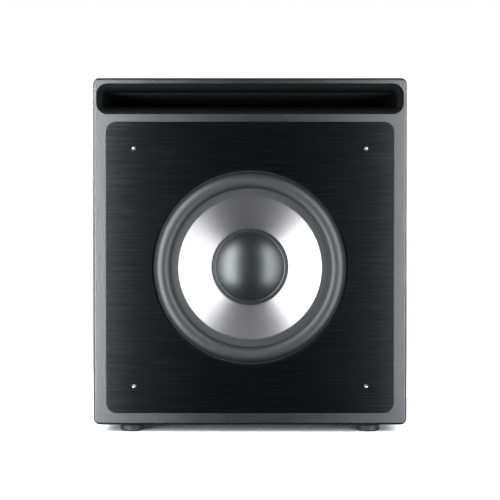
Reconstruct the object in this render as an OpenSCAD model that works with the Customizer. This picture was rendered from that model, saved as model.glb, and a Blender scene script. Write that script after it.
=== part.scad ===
// Ported 12-inch subwoofer: an MDF cabinet with a full-width slot port, an
// aluminium-cone driver behind a brushed front plate, and a plate amplifier.
// Millimetres. +Z up, the front faces -Y, and the feet stand on Z = 0.

/* [Cabinet] */
// Width of the cabinet
cab_w = 454; // [440:1:480]
// Height of the cabinet without its feet
cab_h = 502; // [495:1:540]
// Depth of the cabinet from front face to rear face
cab_d = 400; // [380:1:460]
// Height of the rubber feet
foot_h = 12; // [8:1:20]
// Diameter of the rubber feet
foot_d = 34; // [28:1:40]
// Thickness of the side panels
side_t = 16; // [15:1:18]
// Thickness of the top and bottom panels
lid_t = 19; // [18:1:22]
// Thickness of the front baffle
baffle_t = 25; // [22:1:30]
// Thickness of the rear panel
rear_t = 19; // [16:1:25]
// Radius of the four long edges of the cabinet
edge_r = 9; // [6:0.5:12]
// Radius of the edge around the front and the rear
face_r = 4; // [3:0.5:5]

/* [Port] */
// Height of the port mouth at the front face
mouth_h = 44.5; // [42:0.5:48]
// Radius of the flare around the mouth
flare_r = 11; // [10:0.5:12]
// Length of the shelf that forms the duct, behind the baffle
shelf_len = 290; // [200:5:300]
// Thickness of the shelf
shelf_t = 16; // [12:1:18]

/* [Front plate] */
// Width of the brushed front plate
plate_w = 416; // [400:1:420]
// Height of the brushed front plate
plate_h = 421; // [410:1:424]
// Corner radius of the front plate
plate_r = 15; // [10:1:20]
// Height of the driver's axis above the floor
drv_z = 240; // [236:1:244]

/* [Driver] */
// Radius of the hole in the front plate
hole_r = 141.8; // [141:0.1:143]
// Outer radius of the roll of the surround
roll_out_r = 138.5; // [137:0.5:139]
// Inner radius of the roll of the surround
roll_in_r = 115; // [112:0.5:117]
// Inner radius of the glued lip of the surround
lip_in_r = 105; // [102:0.5:107]
// Depth of the cone from its rim to its neck
cone_depth = 52; // [45:1:54]
// Radius of the voice coil former
former_r = 38.2; // [37:0.1:39]
// Radius of the dust cap's rim
cap_r = 56; // [53:0.5:58]
// Radius of the magnet
magnet_r = 90; // [80:1:95]

/* [Amplifier] */
// Width of the amplifier plate
amp_w = 280; // [270:1:300]
// Height of the amplifier plate
amp_h = 330; // [320:1:350]
// Height of the amplifier's centre above the floor
amp_z = 222; // [215:1:240]
// Diameter of the control knobs
knob_d = 22; // [18:1:24]

/* [Hidden] */
$fn = 96;
eps = 0.01;
gap = 0.4;                      // clearance around parts that are laid in
roll_r = (roll_out_r - roll_in_r) / 2;
roll_mid_r = (roll_out_r + roll_in_r) / 2;
skin_t = 1.5;                   // rubber thickness of the surround
lip_out_r = 146.6;              // outer radius of the surround's clamped lip
basket_hole_r = 141;            // hole through the baffle behind the driver's flange
brace_y = 205;                  // front of the window brace, behind the front face
pad_y = 232;                    // front of the damping pads, behind the front face
pad_len = 140;
plate_t = 2;                    // thickness of the front plate, and depth of its pocket
lip_z = -5;                     // front of the surround's lips, from the front face
flange_z = -3.5;                // front of the driver's flange
flange_t = 7;
flange_r = 158;
gasket_t = 1.5;
bolt_r = 152;                   // radius of the driver's circle of screws
front_proud = roll_r + lip_z - skin_t + 1.2;  // how far the grille pins stand out
fin_h = 18;                     // height of the heat sink's fins
amp_gasket_t = 1.5;
amp_t = 3;                      // thickness of the amplifier plate
rear_proud = amp_gasket_t + amp_t + fin_h;
y_front = front_proud - (cab_d + front_proud + rear_proud) / 2;
y_back = y_front + cab_d;
y_in_front = y_front + baffle_t;
y_in_rear = y_back - rear_t;
cab_top = foot_h + cab_h;
in_w = cab_w - 2 * side_t;
in_top = cab_top - lid_t;
in_bottom = foot_h + lid_t;
throat_r = 5;                   // corner radius of the port's throat
mouth_w = in_w + 2 * flare_r;
mouth_r = throat_r + flare_r;
throat_h = mouth_h - 2 * flare_r;
mouth_z = in_top + flare_r - mouth_h / 2;
shelf_top = in_top - throat_h;
pin_x = 168;                    // half the spacing of the grille pins, across
pin_z = 172;                    // half the spacing of the grille pins, up and down
pin_r = 2.2;
foot_x = 174;
foot_inset = 30;
y_plate = y_back + amp_gasket_t + amp_t;    // outer face of the amplifier plate
box_w = 232;                    // steel cover of the amplifier, inside the cabinet
box_h = 292;
box_d = 88;
cover_t = 1.2;
knob_h = 15;
shaft_r = 3;
bush_r = 4.5;
cone_slope = cone_depth / (lip_in_r - former_r);
cone_t = 1;
cone_z = lip_z - skin_t;        // front of the cone's rim, under the surround's lip
neck_z = cone_z - cone_depth;
top_plate_z = -100;             // front of the steel top plate
top_plate_t = 10;
magnet_t = 20;
back_plate_t = 12;
magnet_back_z = top_plate_z - top_plate_t - 2 * magnet_t;
spider_out_r = 94;
shelf_ring_z = -78;             // front of the basket's seat for the spider
cloth_t = 1;
spider_z = shelf_ring_z + cloth_t;
motor_bolt_r = 68;              // radius of the circle of screws that hold the motor
terminal_r = 112;               // height of the terminal block above the driver's axis
terminal_z = -83;               // rear of the terminal block
pole_r = 36.8;
coil_r = 39.8;
level_at = [102, amp_z + 118];
crossover_at = [48, amp_z + 118];
phase_at = [102, amp_z + 62];
mode_at = [48, amp_z + 62];
line_at = [75, amp_z + 4];
line_pitch = 22;
rocker_at = [98, amp_z - 112];
inlet_at = [48, amp_z - 112];
toroid_at = [-58, amp_z - 96];
sink_w = 112;
sink_h = 262;
sink_at = [-63, amp_z];
pot_d = 9;                      // depth of a control's body behind the plate
inlet_cavity = [24.4, 16.7, 19];            // width, height and depth of the mains socket
drawer_size = [22, 8, 24];      // width, height and length of the fuse drawer
rocker_axis = -2;               // the rocker's pivot, from the plate's face
rocker_tilt = 12;               // tilt of the rocker either side of level; it rests at off
board_y = y_plate - amp_t - pot_d;          // face of the board that carries the controls
board_t = 1.6;
toroid_h = 42;
lead_r = 2.2;                   // radius of the insulated speaker leads
tinsel_r = 0.9;                 // radius of the braided leads to the voice coil
red_route = [[8, -115.5, 356], [8, -100, 356], [2, -80, 358], [-12, -55, 360], [-26, -25, 358],
  [-32, 5, 354], [-32, 40, 348], [-28, 72, 338], [-23, 92, 332], [-22, 104, 330], [-22, 181, 330]];
black_route = [[-8, -115.5, 356], [-8, -100, 356], [-14, -80, 359], [-28, -55, 362],
  [-42, -25, 360], [-48, 5, 354], [-48, 40, 346], [-44, 72, 334], [-39, 92, 326],
  [-38, 104, 324], [-38, 181, 324]];
tinsel_route = [[17.5, -131, 356], [24, -131, 357], [29, -139, 354], [30, -147, 347],
  [27, -150, 333], [22, -146, 316], [16, -142, 300], [12, -141, 287], [9, -141, 279]];
// Small screws beside a socket: its place, half their spacing, their seat and their radius.
SMALL_SCREWS = [[inlet_at, 21, 2.5, 1.5], [mode_at, 11, 1, 1.1]];

// ---- Placing ------------------------------------------------------------

// Draws on the front face: local X is right, local Y is up, local Z comes out of the face.
module on_front(x = 0, z = 0) {
  translate([x, y_front, z]) rotate([90, 0, 0]) children();
}

// Draws on the driver's axis, with local Z = 0 at the cabinet's front face.
module on_driver() {
  on_front(0, drv_z) children();
}

// Draws on the rear: local Z comes out of the plane y, local Y is up, local X is -X.
module on_rear(at = [0, 0], y = y_back) {
  translate([at[0], y, at[1]]) rotate([90, 0, 180]) children();
}

module rounded_rect(w, h, r) {
  square([w - 2 * r, h], center = true);
  square([w, h - 2 * r], center = true);
  for (sx = [-1, 1], sy = [-1, 1])
    translate([sx * (w / 2 - r), sy * (h / 2 - r)]) circle(r);
}

module ring(r_out, r_in, z_low, z_high) {
  translate([0, 0, z_low])
    difference() {
      cylinder(r = r_out, h = z_high - z_low);
      translate([0, 0, -eps]) cylinder(r = r_in, h = z_high - z_low + 2 * eps);
    }
}

// What a round-over of radius r removes: the square corner at the origin, less its round.
module round_profile(r) {
  difference() {
    translate([-r, -r]) square(r + 1);
    translate([-r, -r]) circle(r);
  }
}

// The round-over around a rounded rectangle whose upper face is at local Z = 0.
module face_round(w, h, corner, r) {
  for (a = [0, 180]) rotate([0, 0, a]) {
    translate([w / 2, h / 2 - corner, 0]) rotate([90, 0, 0])
      linear_extrude(h - 2 * corner) round_profile(r);
    translate([-w / 2 + corner, h / 2, 0]) rotate([90, 0, 90])
      linear_extrude(w - 2 * corner) round_profile(r);
    for (s = [0, 1]) mirror([s, 0, 0])
      translate([w / 2 - corner, h / 2 - corner, 0])
        rotate_extrude(angle = 90) translate([corner, 0]) round_profile(r);
  }
}

// ---- Cabinet ------------------------------------------------------------

module port_mouth() {
  on_front(0, mouth_z) {
    translate([0, 0, -baffle_t - 1]) linear_extrude(baffle_t + 2)
      rounded_rect(in_w, throat_h, throat_r);
    difference() {
      translate([0, 0, -flare_r]) linear_extrude(flare_r + 1)
        rounded_rect(mouth_w, mouth_h, mouth_r);
      for (s = [-1, 1]) {
        translate([-mouth_w / 2 + mouth_r, s * mouth_h / 2, -flare_r]) rotate([0, 90, 0])
          cylinder(r = flare_r, h = mouth_w - 2 * mouth_r);
        translate([s * mouth_w / 2, mouth_h / 2 - mouth_r, -flare_r]) rotate([90, 0, 0])
          cylinder(r = flare_r, h = mouth_h - 2 * mouth_r);
      }
      for (a = [0, 180], s = [0, 1]) rotate([0, 0, a]) mirror([s, 0, 0])
        translate([mouth_w / 2 - mouth_r, mouth_h / 2 - mouth_r, -flare_r])
          rotate_extrude(angle = 90) translate([mouth_r, 0]) circle(flare_r);
    }
  }
}

module front_baffle() {
  color("dimgray") difference() {
    on_front(0, foot_h + cab_h / 2)
      translate([0, 0, -baffle_t]) linear_extrude(baffle_t) rounded_rect(cab_w, cab_h, edge_r);
    on_front(0, foot_h + cab_h / 2) face_round(cab_w, cab_h, edge_r, face_r);
    on_front(0, drv_z) translate([0, 0, -plate_t]) linear_extrude(plate_t + 1)
      rounded_rect(plate_w + 2 * gap, plate_h + 2 * gap, plate_r + gap);
    on_driver() translate([0, 0, flange_z - flange_t - gasket_t]) cylinder(r = flange_r + 1, h = 20);
    on_driver() translate([0, 0, -baffle_t - 1]) cylinder(r = basket_hole_r, h = baffle_t + 2);
    driver_bolts() translate([0, 0, -baffle_t + 1]) cylinder(r = 2.35, h = baffle_t);
    port_mouth();
    for (sx = [-1, 1], sz = [-1, 1])
      on_front(sx * pin_x, drv_z + sz * pin_z) translate([0, 0, -16]) cylinder(r = 2.55, h = 20);
  }
}

module rear_panel() {
  color("dimgray") difference() {
    on_rear([0, foot_h + cab_h / 2])
      translate([0, 0, -rear_t]) linear_extrude(rear_t) rounded_rect(cab_w, cab_h, edge_r);
    on_rear([0, foot_h + cab_h / 2]) face_round(cab_w, cab_h, edge_r, face_r);
    on_rear([0, amp_z]) translate([0, 0, -rear_t - 1]) linear_extrude(rear_t + 2)
      square([box_w + 4, box_h + 4], center = true);
    amp_bolts() translate([0, 0, -14]) cylinder(r = 2.05, h = 20);
  }
}

// A top or bottom panel, with its two long outer edges rounded; up is 1 or -1.
module lid_panel(up) {
  translate([0, y_in_rear, 0]) rotate([90, 0, 0]) linear_extrude(y_in_rear - y_in_front)
    mirror([0, up > 0 ? 0 : 1]) {
      translate([-cab_w / 2, 0]) square([cab_w, lid_t - edge_r]);
      translate([-cab_w / 2 + edge_r, 0]) square([cab_w - 2 * edge_r, lid_t]);
      for (s = [-1, 1]) translate([s * (cab_w / 2 - edge_r), lid_t - edge_r]) circle(edge_r);
    }
}

module top_panel() {
  color("dimgray") translate([0, 0, in_top]) lid_panel(1);
}

module bottom_panel() {
  color("dimgray") difference() {
    translate([0, 0, in_bottom]) lid_panel(-1);
    for (at = foot_places()) translate([at[0], at[1], foot_h - 1]) cylinder(r = 2.05, h = 17);
  }
}

module side_panel(side) {
  color("dimgray")
    translate([side > 0 ? in_w / 2 : -cab_w / 2, y_in_front, in_bottom])
      cube([side_t, y_in_rear - y_in_front, in_top - in_bottom]);
}

module port_shelf() {
  color("burlywood") translate([-in_w / 2, y_in_front, shelf_top - shelf_t])
    cube([in_w, shelf_len, shelf_t]);
}

module window_brace() {
  window_w = 178;
  window_h = 178;
  brace_t = 16;
  brace_h = shelf_top - shelf_t - in_bottom;
  color("burlywood") translate([0, y_front + brace_y, in_bottom + brace_h / 2]) rotate([-90, 0, 0])
    difference() {
      linear_extrude(brace_t) square([in_w, brace_h], center = true);
      for (sx = [-1, 1], sy = [-1, 1])
        translate([sx * (window_w / 2 + 12), sy * (window_h / 2 + 14), -1])
          linear_extrude(brace_t + 2) rounded_rect(window_w, window_h, 20);
    }
}

module front_plate() {
  color("#24282b") difference() {
    on_front(0, drv_z) translate([0, 0, -plate_t]) linear_extrude(plate_t)
      rounded_rect(plate_w, plate_h, plate_r);
    on_driver() translate([0, 0, -10]) cylinder(r = hole_r, h = 20);
    on_driver() translate([0, 0, -0.7])
      cylinder(r1 = hole_r - eps, r2 = hole_r + 0.7, h = 0.7 + eps);
    for (sx = [-1, 1], sz = [-1, 1])
      on_front(sx * pin_x, drv_z + sz * pin_z) translate([0, 0, -10]) cylinder(r = 3.2, h = 20);
  }
}

// Round-ended pins that a grille frame snaps on to, pressed into the baffle.
module grille_pins() {
  color("silver")
    for (sx = [-1, 1], sz = [-1, 1])
      on_front(sx * pin_x, drv_z + sz * pin_z) {
        translate([0, 0, -15]) cylinder(r = 2.5, h = 15);
        translate([0, 0, -plate_t]) cylinder(r = 3.1, h = plate_t);
        cylinder(r = pin_r, h = front_proud - pin_r);
        translate([0, 0, front_proud - pin_r]) sphere(pin_r);
      }
}

module damping_pads() {
  pad_t = 22;
  color("ivory") for (x = [-in_w / 2, in_w / 2 - pad_t])
    translate([x, y_front + pad_y, in_bottom + 6])
      cube([pad_t, pad_len, shelf_top - shelf_t - in_bottom - 12]);
}

// ---- Feet ---------------------------------------------------------------

function foot_places() =
  [for (sy = [0, 1], sx = [-1, 1])
    [sx * foot_x, sy == 0 ? y_front + foot_inset : y_back - foot_inset]];

module rubber_feet() {
  r = foot_d / 2;
  color("#202020") for (at = foot_places()) translate([at[0], at[1], 0]) rotate_extrude()
    polygon([[2.4, foot_h], [r, foot_h], [r, 3.5], [r - 0.7, 1.6], [r - 2.4, 0],
      [7, 0], [7, 5], [2.4, 5]]);
}

module foot_screws() {
  color("gray") for (at = foot_places()) translate([at[0], at[1], 0]) {
    translate([0, 0, 4.9]) cylinder(r = 2, h = 21);
    difference() {
      translate([0, 0, 1.6]) cylinder(r = 4.5, h = 3.4);
      translate([0, 0, 0.6]) cylinder(r = 2.2, h = 2.6, $fn = 6);
    }
  }
}

// ---- Driver -------------------------------------------------------------

module driver_bolts() {
  on_driver() for (n = [0:7]) rotate([0, 0, 22.5 + 45 * n]) translate([bolt_r, 0, 0]) children();
}

// The screws that clamp the basket to the top plate, placed at the top plate's front.
module motor_bolts() {
  on_driver() for (n = [0:5]) rotate([0, 0, 30 + 60 * n])
    translate([motor_bolt_r, 0, top_plate_z]) children();
}

module driver_basket() {
  wall_out = 137;
  seat_r = 147;
  color("#303030") difference() {
    on_driver() {
      difference() {
        rotate_extrude() polygon([
          [seat_r, flange_z], [flange_r, flange_z], [flange_r, flange_z - flange_t],
          [wall_out + 3, flange_z - flange_t], [wall_out, -24], [106, shelf_ring_z + 8],
          [102, shelf_ring_z - 4], [98, top_plate_z + 5], [88, top_plate_z],
          [44, top_plate_z], [44, top_plate_z + 5], [84, top_plate_z + 5],
          [88, shelf_ring_z - 6], [88, shelf_ring_z], [98, shelf_ring_z],
          [98, shelf_ring_z + 6], [130, -26], [133, lip_z - skin_t - 5],
          [133, lip_z - skin_t], [seat_r, lip_z - skin_t]]);
        for (n = [0:5]) rotate([0, 0, 60 * n]) {
          translate([60, -34, -66]) cube([100, 68, 38]);
          translate([60, -26, -94]) cube([100, 52, 10]);
        }
      }
      translate([-18, 97, terminal_z - 1]) cube([36, terminal_r - 97, 14]);
    }
    driver_bolts() translate([0, 0, flange_z - flange_t - 1]) cylinder(r = 2.7, h = 20);
    driver_bolts() translate([0, 0, flange_z - 3.3]) cylinder(r = 4.8, h = 20);
    motor_bolts() translate([0, 0, -1]) cylinder(r = 2.5, h = 8);
  }
}

// One half roll, with a flat lip inside and outside it.
module surround() {
  foot_z = lip_z - skin_t;
  color("#3a3d40") on_driver() rotate_extrude() difference() {
    union() {
      translate([lip_in_r, foot_z]) square([roll_in_r - lip_in_r + 1.2, skin_t]);
      translate([roll_out_r - 1.2, foot_z]) square([lip_out_r - roll_out_r + 1.2, skin_t]);
      intersection() {
        translate([roll_mid_r, foot_z]) circle(roll_r);
        translate([roll_in_r, foot_z]) square([2 * roll_r, roll_r + 1]);
      }
    }
    intersection() {
      translate([roll_mid_r, foot_z]) circle(roll_r - skin_t);
      translate([roll_in_r, foot_z - 1]) square([2 * roll_r, roll_r + 1]);
    }
  }
}

function spider_at(r) =
  spider_z + 2.6 * sin(360 * (r - former_r - 8) / 11) * (r > former_r + 8 && r < 87 ? 1 : 0);

// Corrugated cloth disc that centres the voice coil.
module spider() {
  radii = [for (r = [former_r + 0.1 : 1.375 : spider_out_r]) r];
  color("goldenrod") on_driver() rotate_extrude() polygon(concat(
    [for (r = radii) [r, spider_at(r)]], [[spider_out_r, spider_z]],
    [[spider_out_r, spider_z - cloth_t]],
    [for (n = [len(radii) - 1 : -1 : 0]) [radii[n], spider_at(radii[n]) - cloth_t]]));
}

module driver_gasket() {
  color("#202020") difference() {
    on_driver() ring(flange_r, 142, flange_z - flange_t - gasket_t, flange_z - flange_t);
    driver_bolts() translate([0, 0, -20]) cylinder(r = 2.7, h = 20);
  }
}

module driver_screws() {
  color("gray") driver_bolts() difference() {
    union() {
      translate([0, 0, flange_z - 3.3]) cylinder(r = 4.5, h = 3);
      translate([0, 0, -23]) cylinder(r = 2.3, h = 23 + flange_z - 3.2);
    }
    translate([0, 0, flange_z - 2]) cylinder(r = 2, h = 4, $fn = 6);
  }
}

module magnet_top_plate() {
  color("silver") difference() {
    on_driver() ring(86, coil_r + 1, top_plate_z - top_plate_t, top_plate_z);
    motor_bolts() translate([0, 0, -8]) cylinder(r = 2.5, h = 10);
  }
}

module magnet_rings() {
  color("#2c2c2e") on_driver() for (n = [0, 1])
    ring(magnet_r, 50, top_plate_z - top_plate_t - magnet_t * (n + 1) + (n == 0 ? 0.2 : 0),
      top_plate_z - top_plate_t - magnet_t * n);
}

// Rear plate and vented pole in one turned piece.
module magnet_back_plate() {
  color("silver") on_driver() rotate_extrude() polygon([
    [15, top_plate_z], [pole_r, top_plate_z], [pole_r, magnet_back_z], [86, magnet_back_z],
    [86, magnet_back_z - back_plate_t + 3], [83, magnet_back_z - back_plate_t],
    [20, magnet_back_z - back_plate_t], [15, magnet_back_z - back_plate_t + 5]]);
}

module magnet_boot() {
  boot_t = 3;
  r = magnet_r + gap;
  back = magnet_back_z - back_plate_t - gap;
  color("#202020") on_driver() rotate_extrude() polygon([
    [r, top_plate_z - top_plate_t], [r + boot_t, top_plate_z - top_plate_t],
    [r + boot_t, back + 3], [r + boot_t - 6, back - boot_t], [66, back - boot_t],
    [66, back], [r - 3, back], [r, back + 4]]);
}

// Terminal block on a pad at the top of the basket, for the two speaker leads.
module terminal_block() {
  color("#2a2a2a") on_driver() translate([-17, terminal_r, terminal_z]) cube([34, 8, 12]);
}

module terminal_tabs() {
  color("gold") for (x = [-8, 8])
    on_driver() translate([x - 2.4, terminal_r + 3.6, terminal_z - 9]) cube([4.8, 0.8, 9]);
}

module motor_screws() {
  color("gray") motor_bolts() difference() {
    union() {
      translate([0, 0, 5]) cylinder(r = 4.2, h = 3);
      translate([0, 0, -7]) cylinder(r = 2.4, h = 12 + eps);
    }
    translate([0, 0, 6.4]) cylinder(r = 1.8, h = 3, $fn = 6);
  }
}

// ---- Moving part of the driver ------------------------------------------

module cone() {
  flat = roll_in_r + 0.4;
  color("gainsboro") on_driver() rotate_extrude() polygon([
    [lip_in_r - 1, cone_z], [flat, cone_z], [flat, cone_z - cone_t], [lip_in_r - 0.6, cone_z - cone_t],
    [former_r + 0.02, neck_z - cone_t * 1.3], [former_r + 0.02, neck_z]]);
}

module dust_cap() {
  cap_t = 1;
  rim_w = 5;
  dome_r = cap_r - rim_w;
  dome_h = 19;
  ball_r = (dome_r * dome_r + dome_h * dome_h) / (2 * dome_h);
  rim_z = cone_z - cone_slope * (lip_in_r - 1 - cap_r) + 0.3;
  color("#45494c") on_driver() translate([0, 0, rim_z]) {
    difference() {
      intersection() {
        translate([0, 0, dome_h - ball_r]) sphere(ball_r, $fn = 180);
        cylinder(r = dome_r, h = dome_h + 1);
      }
      translate([0, 0, dome_h - ball_r]) sphere(ball_r - cap_t, $fn = 180);
    }
    rotate_extrude() polygon([[dome_r - 1.4, 0], [cap_r, 0], [cap_r, 1], [dome_r + 0.9, 1.6],
      [dome_r - 0.4, 0.9], [dome_r - 1.4, 0.9]]);
  }
}

module voice_coil_former() {
  color("khaki") on_driver() ring(former_r, former_r - 0.6, -124, neck_z + 4);
}

module voice_coil() {
  color("peru") on_driver() ring(coil_r, former_r, -121, -89);
}

// ---- Speaker leads ------------------------------------------------------

function catmull(a, b, c, d, t) =
  0.5 * (2 * b + (c - a) * t + (2 * a - 5 * b + 4 * c - d) * t * t
    + (3 * b - a - 3 * c + d) * t * t * t);

function smooth_path(p, steps) = concat(
  [for (n = [0 : len(p) - 2], s = [0 : steps - 1])
    catmull(p[max(n - 1, 0)], p[n], p[n + 1], p[min(n + 2, len(p) - 1)], s / steps)],
  [p[len(p) - 1]]);

function unit(v) = v / norm(v);

function tangent(path, n) =
  unit(path[min(n + 1, len(path) - 1)] - path[max(n - 1, 0)]);

// A tube of eight sides swept along a path.
module tube(points, r) {
  sides = 8;
  path = smooth_path(points, 4);
  last = len(path) - 1;
  rings = [for (n = [0 : last]) let (
      t = tangent(path, n),
      u = unit(cross(t, [0, 0, 1])),
      v = cross(t, u))
    for (s = [0 : sides - 1])
      path[n] + r * (cos(360 * s / sides) * u + sin(360 * s / sides) * v)];
  polyhedron(rings, concat(
    [[for (s = [0 : sides - 1]) s]],
    [for (n = [0 : last - 1], s = [0 : sides - 1])
      [n * sides + s, (n + 1) * sides + s, (n + 1) * sides + (s + 1) % sides,
        n * sides + (s + 1) % sides]],
    [[for (s = [sides - 1 : -1 : 0]) last * sides + s]]));
}

// Braided leads from the terminal block in through the basket to the coil.
module tinsel_leads() {
  color("goldenrod") for (s = [0, 1]) mirror([s, 0, 0]) tube(tinsel_route, tinsel_r);
}

// ---- Plate amplifier ----------------------------------------------------

module amp_bolts() {
  for (x = [-1, 0, 1], z = [-1, 1])
    on_rear([x * (amp_w / 2 - 12), amp_z + z * (amp_h / 2 - 10)]) children();
  for (x = [-1, 1], z = [-1, 1])
    on_rear([x * (amp_w / 2 - 12), amp_z + z * 52]) children();
}

// Draws a pair beside each socket; $seat and $shank are that pair's seat and radius.
module small_screw_pairs() {
  for (row = SMALL_SCREWS, s = [-1, 1])
    let ($seat = row[2], $shank = row[3])
      on_rear([row[0][0] + s * row[1], row[0][1]], y_plate) children();
}

// Opens the amplifier plate for every control and socket.
module panel_openings() {
  for (at = [level_at, crossover_at, phase_at])
    on_rear(at, y_plate) translate([0, 0, -20]) cylinder(r = bush_r + 0.2, h = 40);
  for (s = [-1, 1])
    on_rear([line_at[0] + s * line_pitch / 2, line_at[1]], y_plate) translate([0, 0, -20])
      cylinder(r = 6.2, h = 40);
  on_rear(mode_at, y_plate) cube([14, 6, 40], center = true);
  on_rear([mode_at[0], mode_at[1] + 18], y_plate) translate([0, 0, -20]) cylinder(r = 2.7, h = 40);
  on_rear(rocker_at, y_plate) cube([22.4, 30.4, 60], center = true);
  on_rear(inlet_at, y_plate) cube([34.4, 36.4, 60], center = true);
  small_screw_pairs() translate([0, 0, -10]) cylinder(r = $shank + 0.05, h = 20);
}

module amp_plate() {
  color("#2b2d2f") difference() {
    on_rear([0, amp_z], y_plate) translate([0, 0, -amp_t]) linear_extrude(amp_t)
      rounded_rect(amp_w, amp_h, 8);
    panel_openings();
    amp_bolts() translate([0, 0, -1]) cylinder(r = 2.4, h = 20);
  }
}

module amp_gasket() {
  color("#202020") difference() {
    on_rear([0, amp_z]) linear_extrude(amp_gasket_t) difference() {
      rounded_rect(amp_w - 2, amp_h - 2, 7);
      square([box_w + 6, box_h + 6], center = true);
    }
    amp_bolts() translate([0, 0, -1]) cylinder(r = 2.4, h = 20);
  }
}

module amp_screws() {
  color("gray") {
    amp_bolts() difference() {
      union() {
        translate([0, 0, amp_gasket_t + amp_t]) cylinder(r1 = 4.4, r2 = 3.6, h = 2.2);
        translate([0, 0, -13.5]) cylinder(r = 2, h = 13.6 + amp_gasket_t + amp_t);
      }
      translate([0, 0, amp_gasket_t + amp_t + 0.9]) cylinder(r = 1.6, h = 3, $fn = 6);
    }
    small_screw_pairs() {
      translate([0, 0, $seat]) cylinder(r1 = 2 * $shank, r2 = 1.6 * $shank, h = 1.4);
      translate([0, 0, -5]) cylinder(r = $shank, h = 5 + $seat + eps);
    }
  }
}

module heat_sink() {
  fins = 13;
  base_t = 4;
  fin_t = 2;
  pitch = (sink_w - fin_t) / (fins - 1);
  color("#2b2d2f") on_rear(sink_at, y_plate) {
    translate([-sink_w / 2, -sink_h / 2, 0]) cube([sink_w, sink_h, base_t]);
    for (n = [0 : fins - 1])
      translate([-sink_w / 2 + n * pitch, -sink_h / 2, base_t - eps])
        cube([fin_t, sink_h, fin_h - base_t + eps]);
  }
}

module amp_cover() {
  y0 = y_back - box_d;
  depth = box_d + amp_gasket_t;
  color("lightgray") difference() {
    translate([-box_w / 2, y0, amp_z - box_h / 2]) cube([box_w, depth, box_h]);
    translate([-box_w / 2 + cover_t, y0 + cover_t, amp_z - box_h / 2 + cover_t])
      cube([box_w - 2 * cover_t, depth, box_h - 2 * cover_t]);
    for (route = [red_route, black_route]) let (end = route[len(route) - 1])
      translate([end[0], y0 - 5, end[2]]) rotate([-90, 0, 0]) cylinder(r = lead_r + 0.3, h = 10);
  }
}

module circuit_board() {
  color("darkgreen") translate([-105, board_y - board_t, amp_z - 40]) cube([217, board_t, 175]);
}

module filter_capacitors() {
  color("#222244") {
    for (x = [-90, -56]) on_rear([x, amp_z + 92], board_y - board_t) rotate([180, 0, 0])
      cylinder(r = 15, h = 35);
    for (x = [20, 44, 68, 92]) on_rear([x, amp_z - 14], board_y - board_t) rotate([180, 0, 0])
      cylinder(r = 8, h = 25);
  }
}

module toroidal_transformer() {
  color("darkorange") on_rear(toroid_at, y_plate - amp_t) rotate_extrude()
    translate([31, -toroid_h / 2]) rounded_rect(34, toroid_h, 10);
}

module transformer_clamp() {
  color("gray") on_rear(toroid_at, y_plate - amp_t - toroid_h) {
    translate([0, 0, -2]) cylinder(r = 34, h = 2);
    translate([0, 0, -8]) cylinder(r = 3.5, h = toroid_h + 8);
    translate([0, 0, -7]) cylinder(r = 6, h = 5.1, $fn = 6);
  }
}

module control_pots() {
  color("silver") for (at = [level_at, crossover_at, phase_at])
    on_rear(at, y_plate - amp_t) difference() {
      union() {
        translate([0, 0, -pot_d]) cylinder(r = 8.5, h = pot_d);
        translate([0, 0, -1]) cylinder(r = bush_r, h = amp_t + 5.5);
      }
      translate([0, 0, 2 - pot_d]) cylinder(r = shaft_r + 0.06, h = 30);
    }
}

module pot_nuts() {
  color("silver") for (at = [level_at, crossover_at, phase_at])
    on_rear(at, y_plate) difference() {
      cylinder(r = 6.4, h = 2, $fn = 6);
      translate([0, 0, -1]) cylinder(r = bush_r + 0.05, h = 4);
    }
}

// A fluted knob, hollow over the control's nut, with a pointer groove at the top.
module knob(at) {
  flutes = 20;
  color("#1c1c1c") on_rear(at, y_plate) difference() {
    union() {
      translate([0, 0, 2.8]) cylinder(r = knob_d / 2, h = knob_h - 4);
      translate([0, 0, knob_h - 1.2]) cylinder(r1 = knob_d / 2, r2 = knob_d / 2 - 1.2, h = 1.2);
    }
    translate([0, 0, 2]) cylinder(r = 7.6, h = 3.7);
    translate([0, 0, 2]) cylinder(r = shaft_r + 0.02, h = 10);
    for (n = [1 : flutes - 1]) rotate([0, 0, 90 + 360 * n / flutes])
      translate([knob_d / 2 + 0.7, 0, 4.5]) cylinder(r = 1.3, h = knob_h);
    translate([-0.6, knob_d / 2 - 7.5, knob_h - 0.6]) cube([1.2, 8, 2]);
  }
}

module shaft(at) {
  color("silver") on_rear(at, y_plate - amp_t) translate([0, 0, 2.5 - pot_d])
    cylinder(r = shaft_r, h = pot_d + amp_t + 9);
}

module line_in_shells() {
  color("silver") for (s = [-1, 1])
    on_rear([line_at[0] + s * line_pitch / 2, line_at[1]], y_plate) {
      ring(4.15, 3.4, 2, 11);
      ring(6.9, 3.4, 0.02, 2 + eps);
    }
}

module line_in_insulators() {
  color("#b02020") for (s = [-1, 1])
    on_rear([line_at[0] + s * line_pitch / 2, line_at[1]], y_plate) difference() {
      union() {
        translate([0, 0, -12]) cylinder(r = 6.1, h = 12);
        cylinder(r = 3.35, h = 9.5);
      }
      translate([0, 0, 1]) cylinder(r = 1.6, h = 10);
    }
}

module mains_inlet() {
  color("#181818") on_rear(inlet_at, y_plate) difference() {
    union() {
      linear_extrude(2.5) rounded_rect(50, 40, 3);
      translate([-17, -18, -26]) cube([34, 36, 26 + eps]);
    }
    translate([-inlet_cavity[0] / 2, -15.5, 2.5 - inlet_cavity[2]])
      cube([inlet_cavity[0], inlet_cavity[1], 30]);
    translate([-drawer_size[0] / 2 - 0.2, 5.8, 2 - drawer_size[2] - 0.4])
      cube([drawer_size[0] + 0.4, drawer_size[1] + 0.4, 40]);
    for (s = [-1, 1]) translate([s * 21, 0, -1]) cylinder(r = 1.7, h = 5);
  }
}

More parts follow.
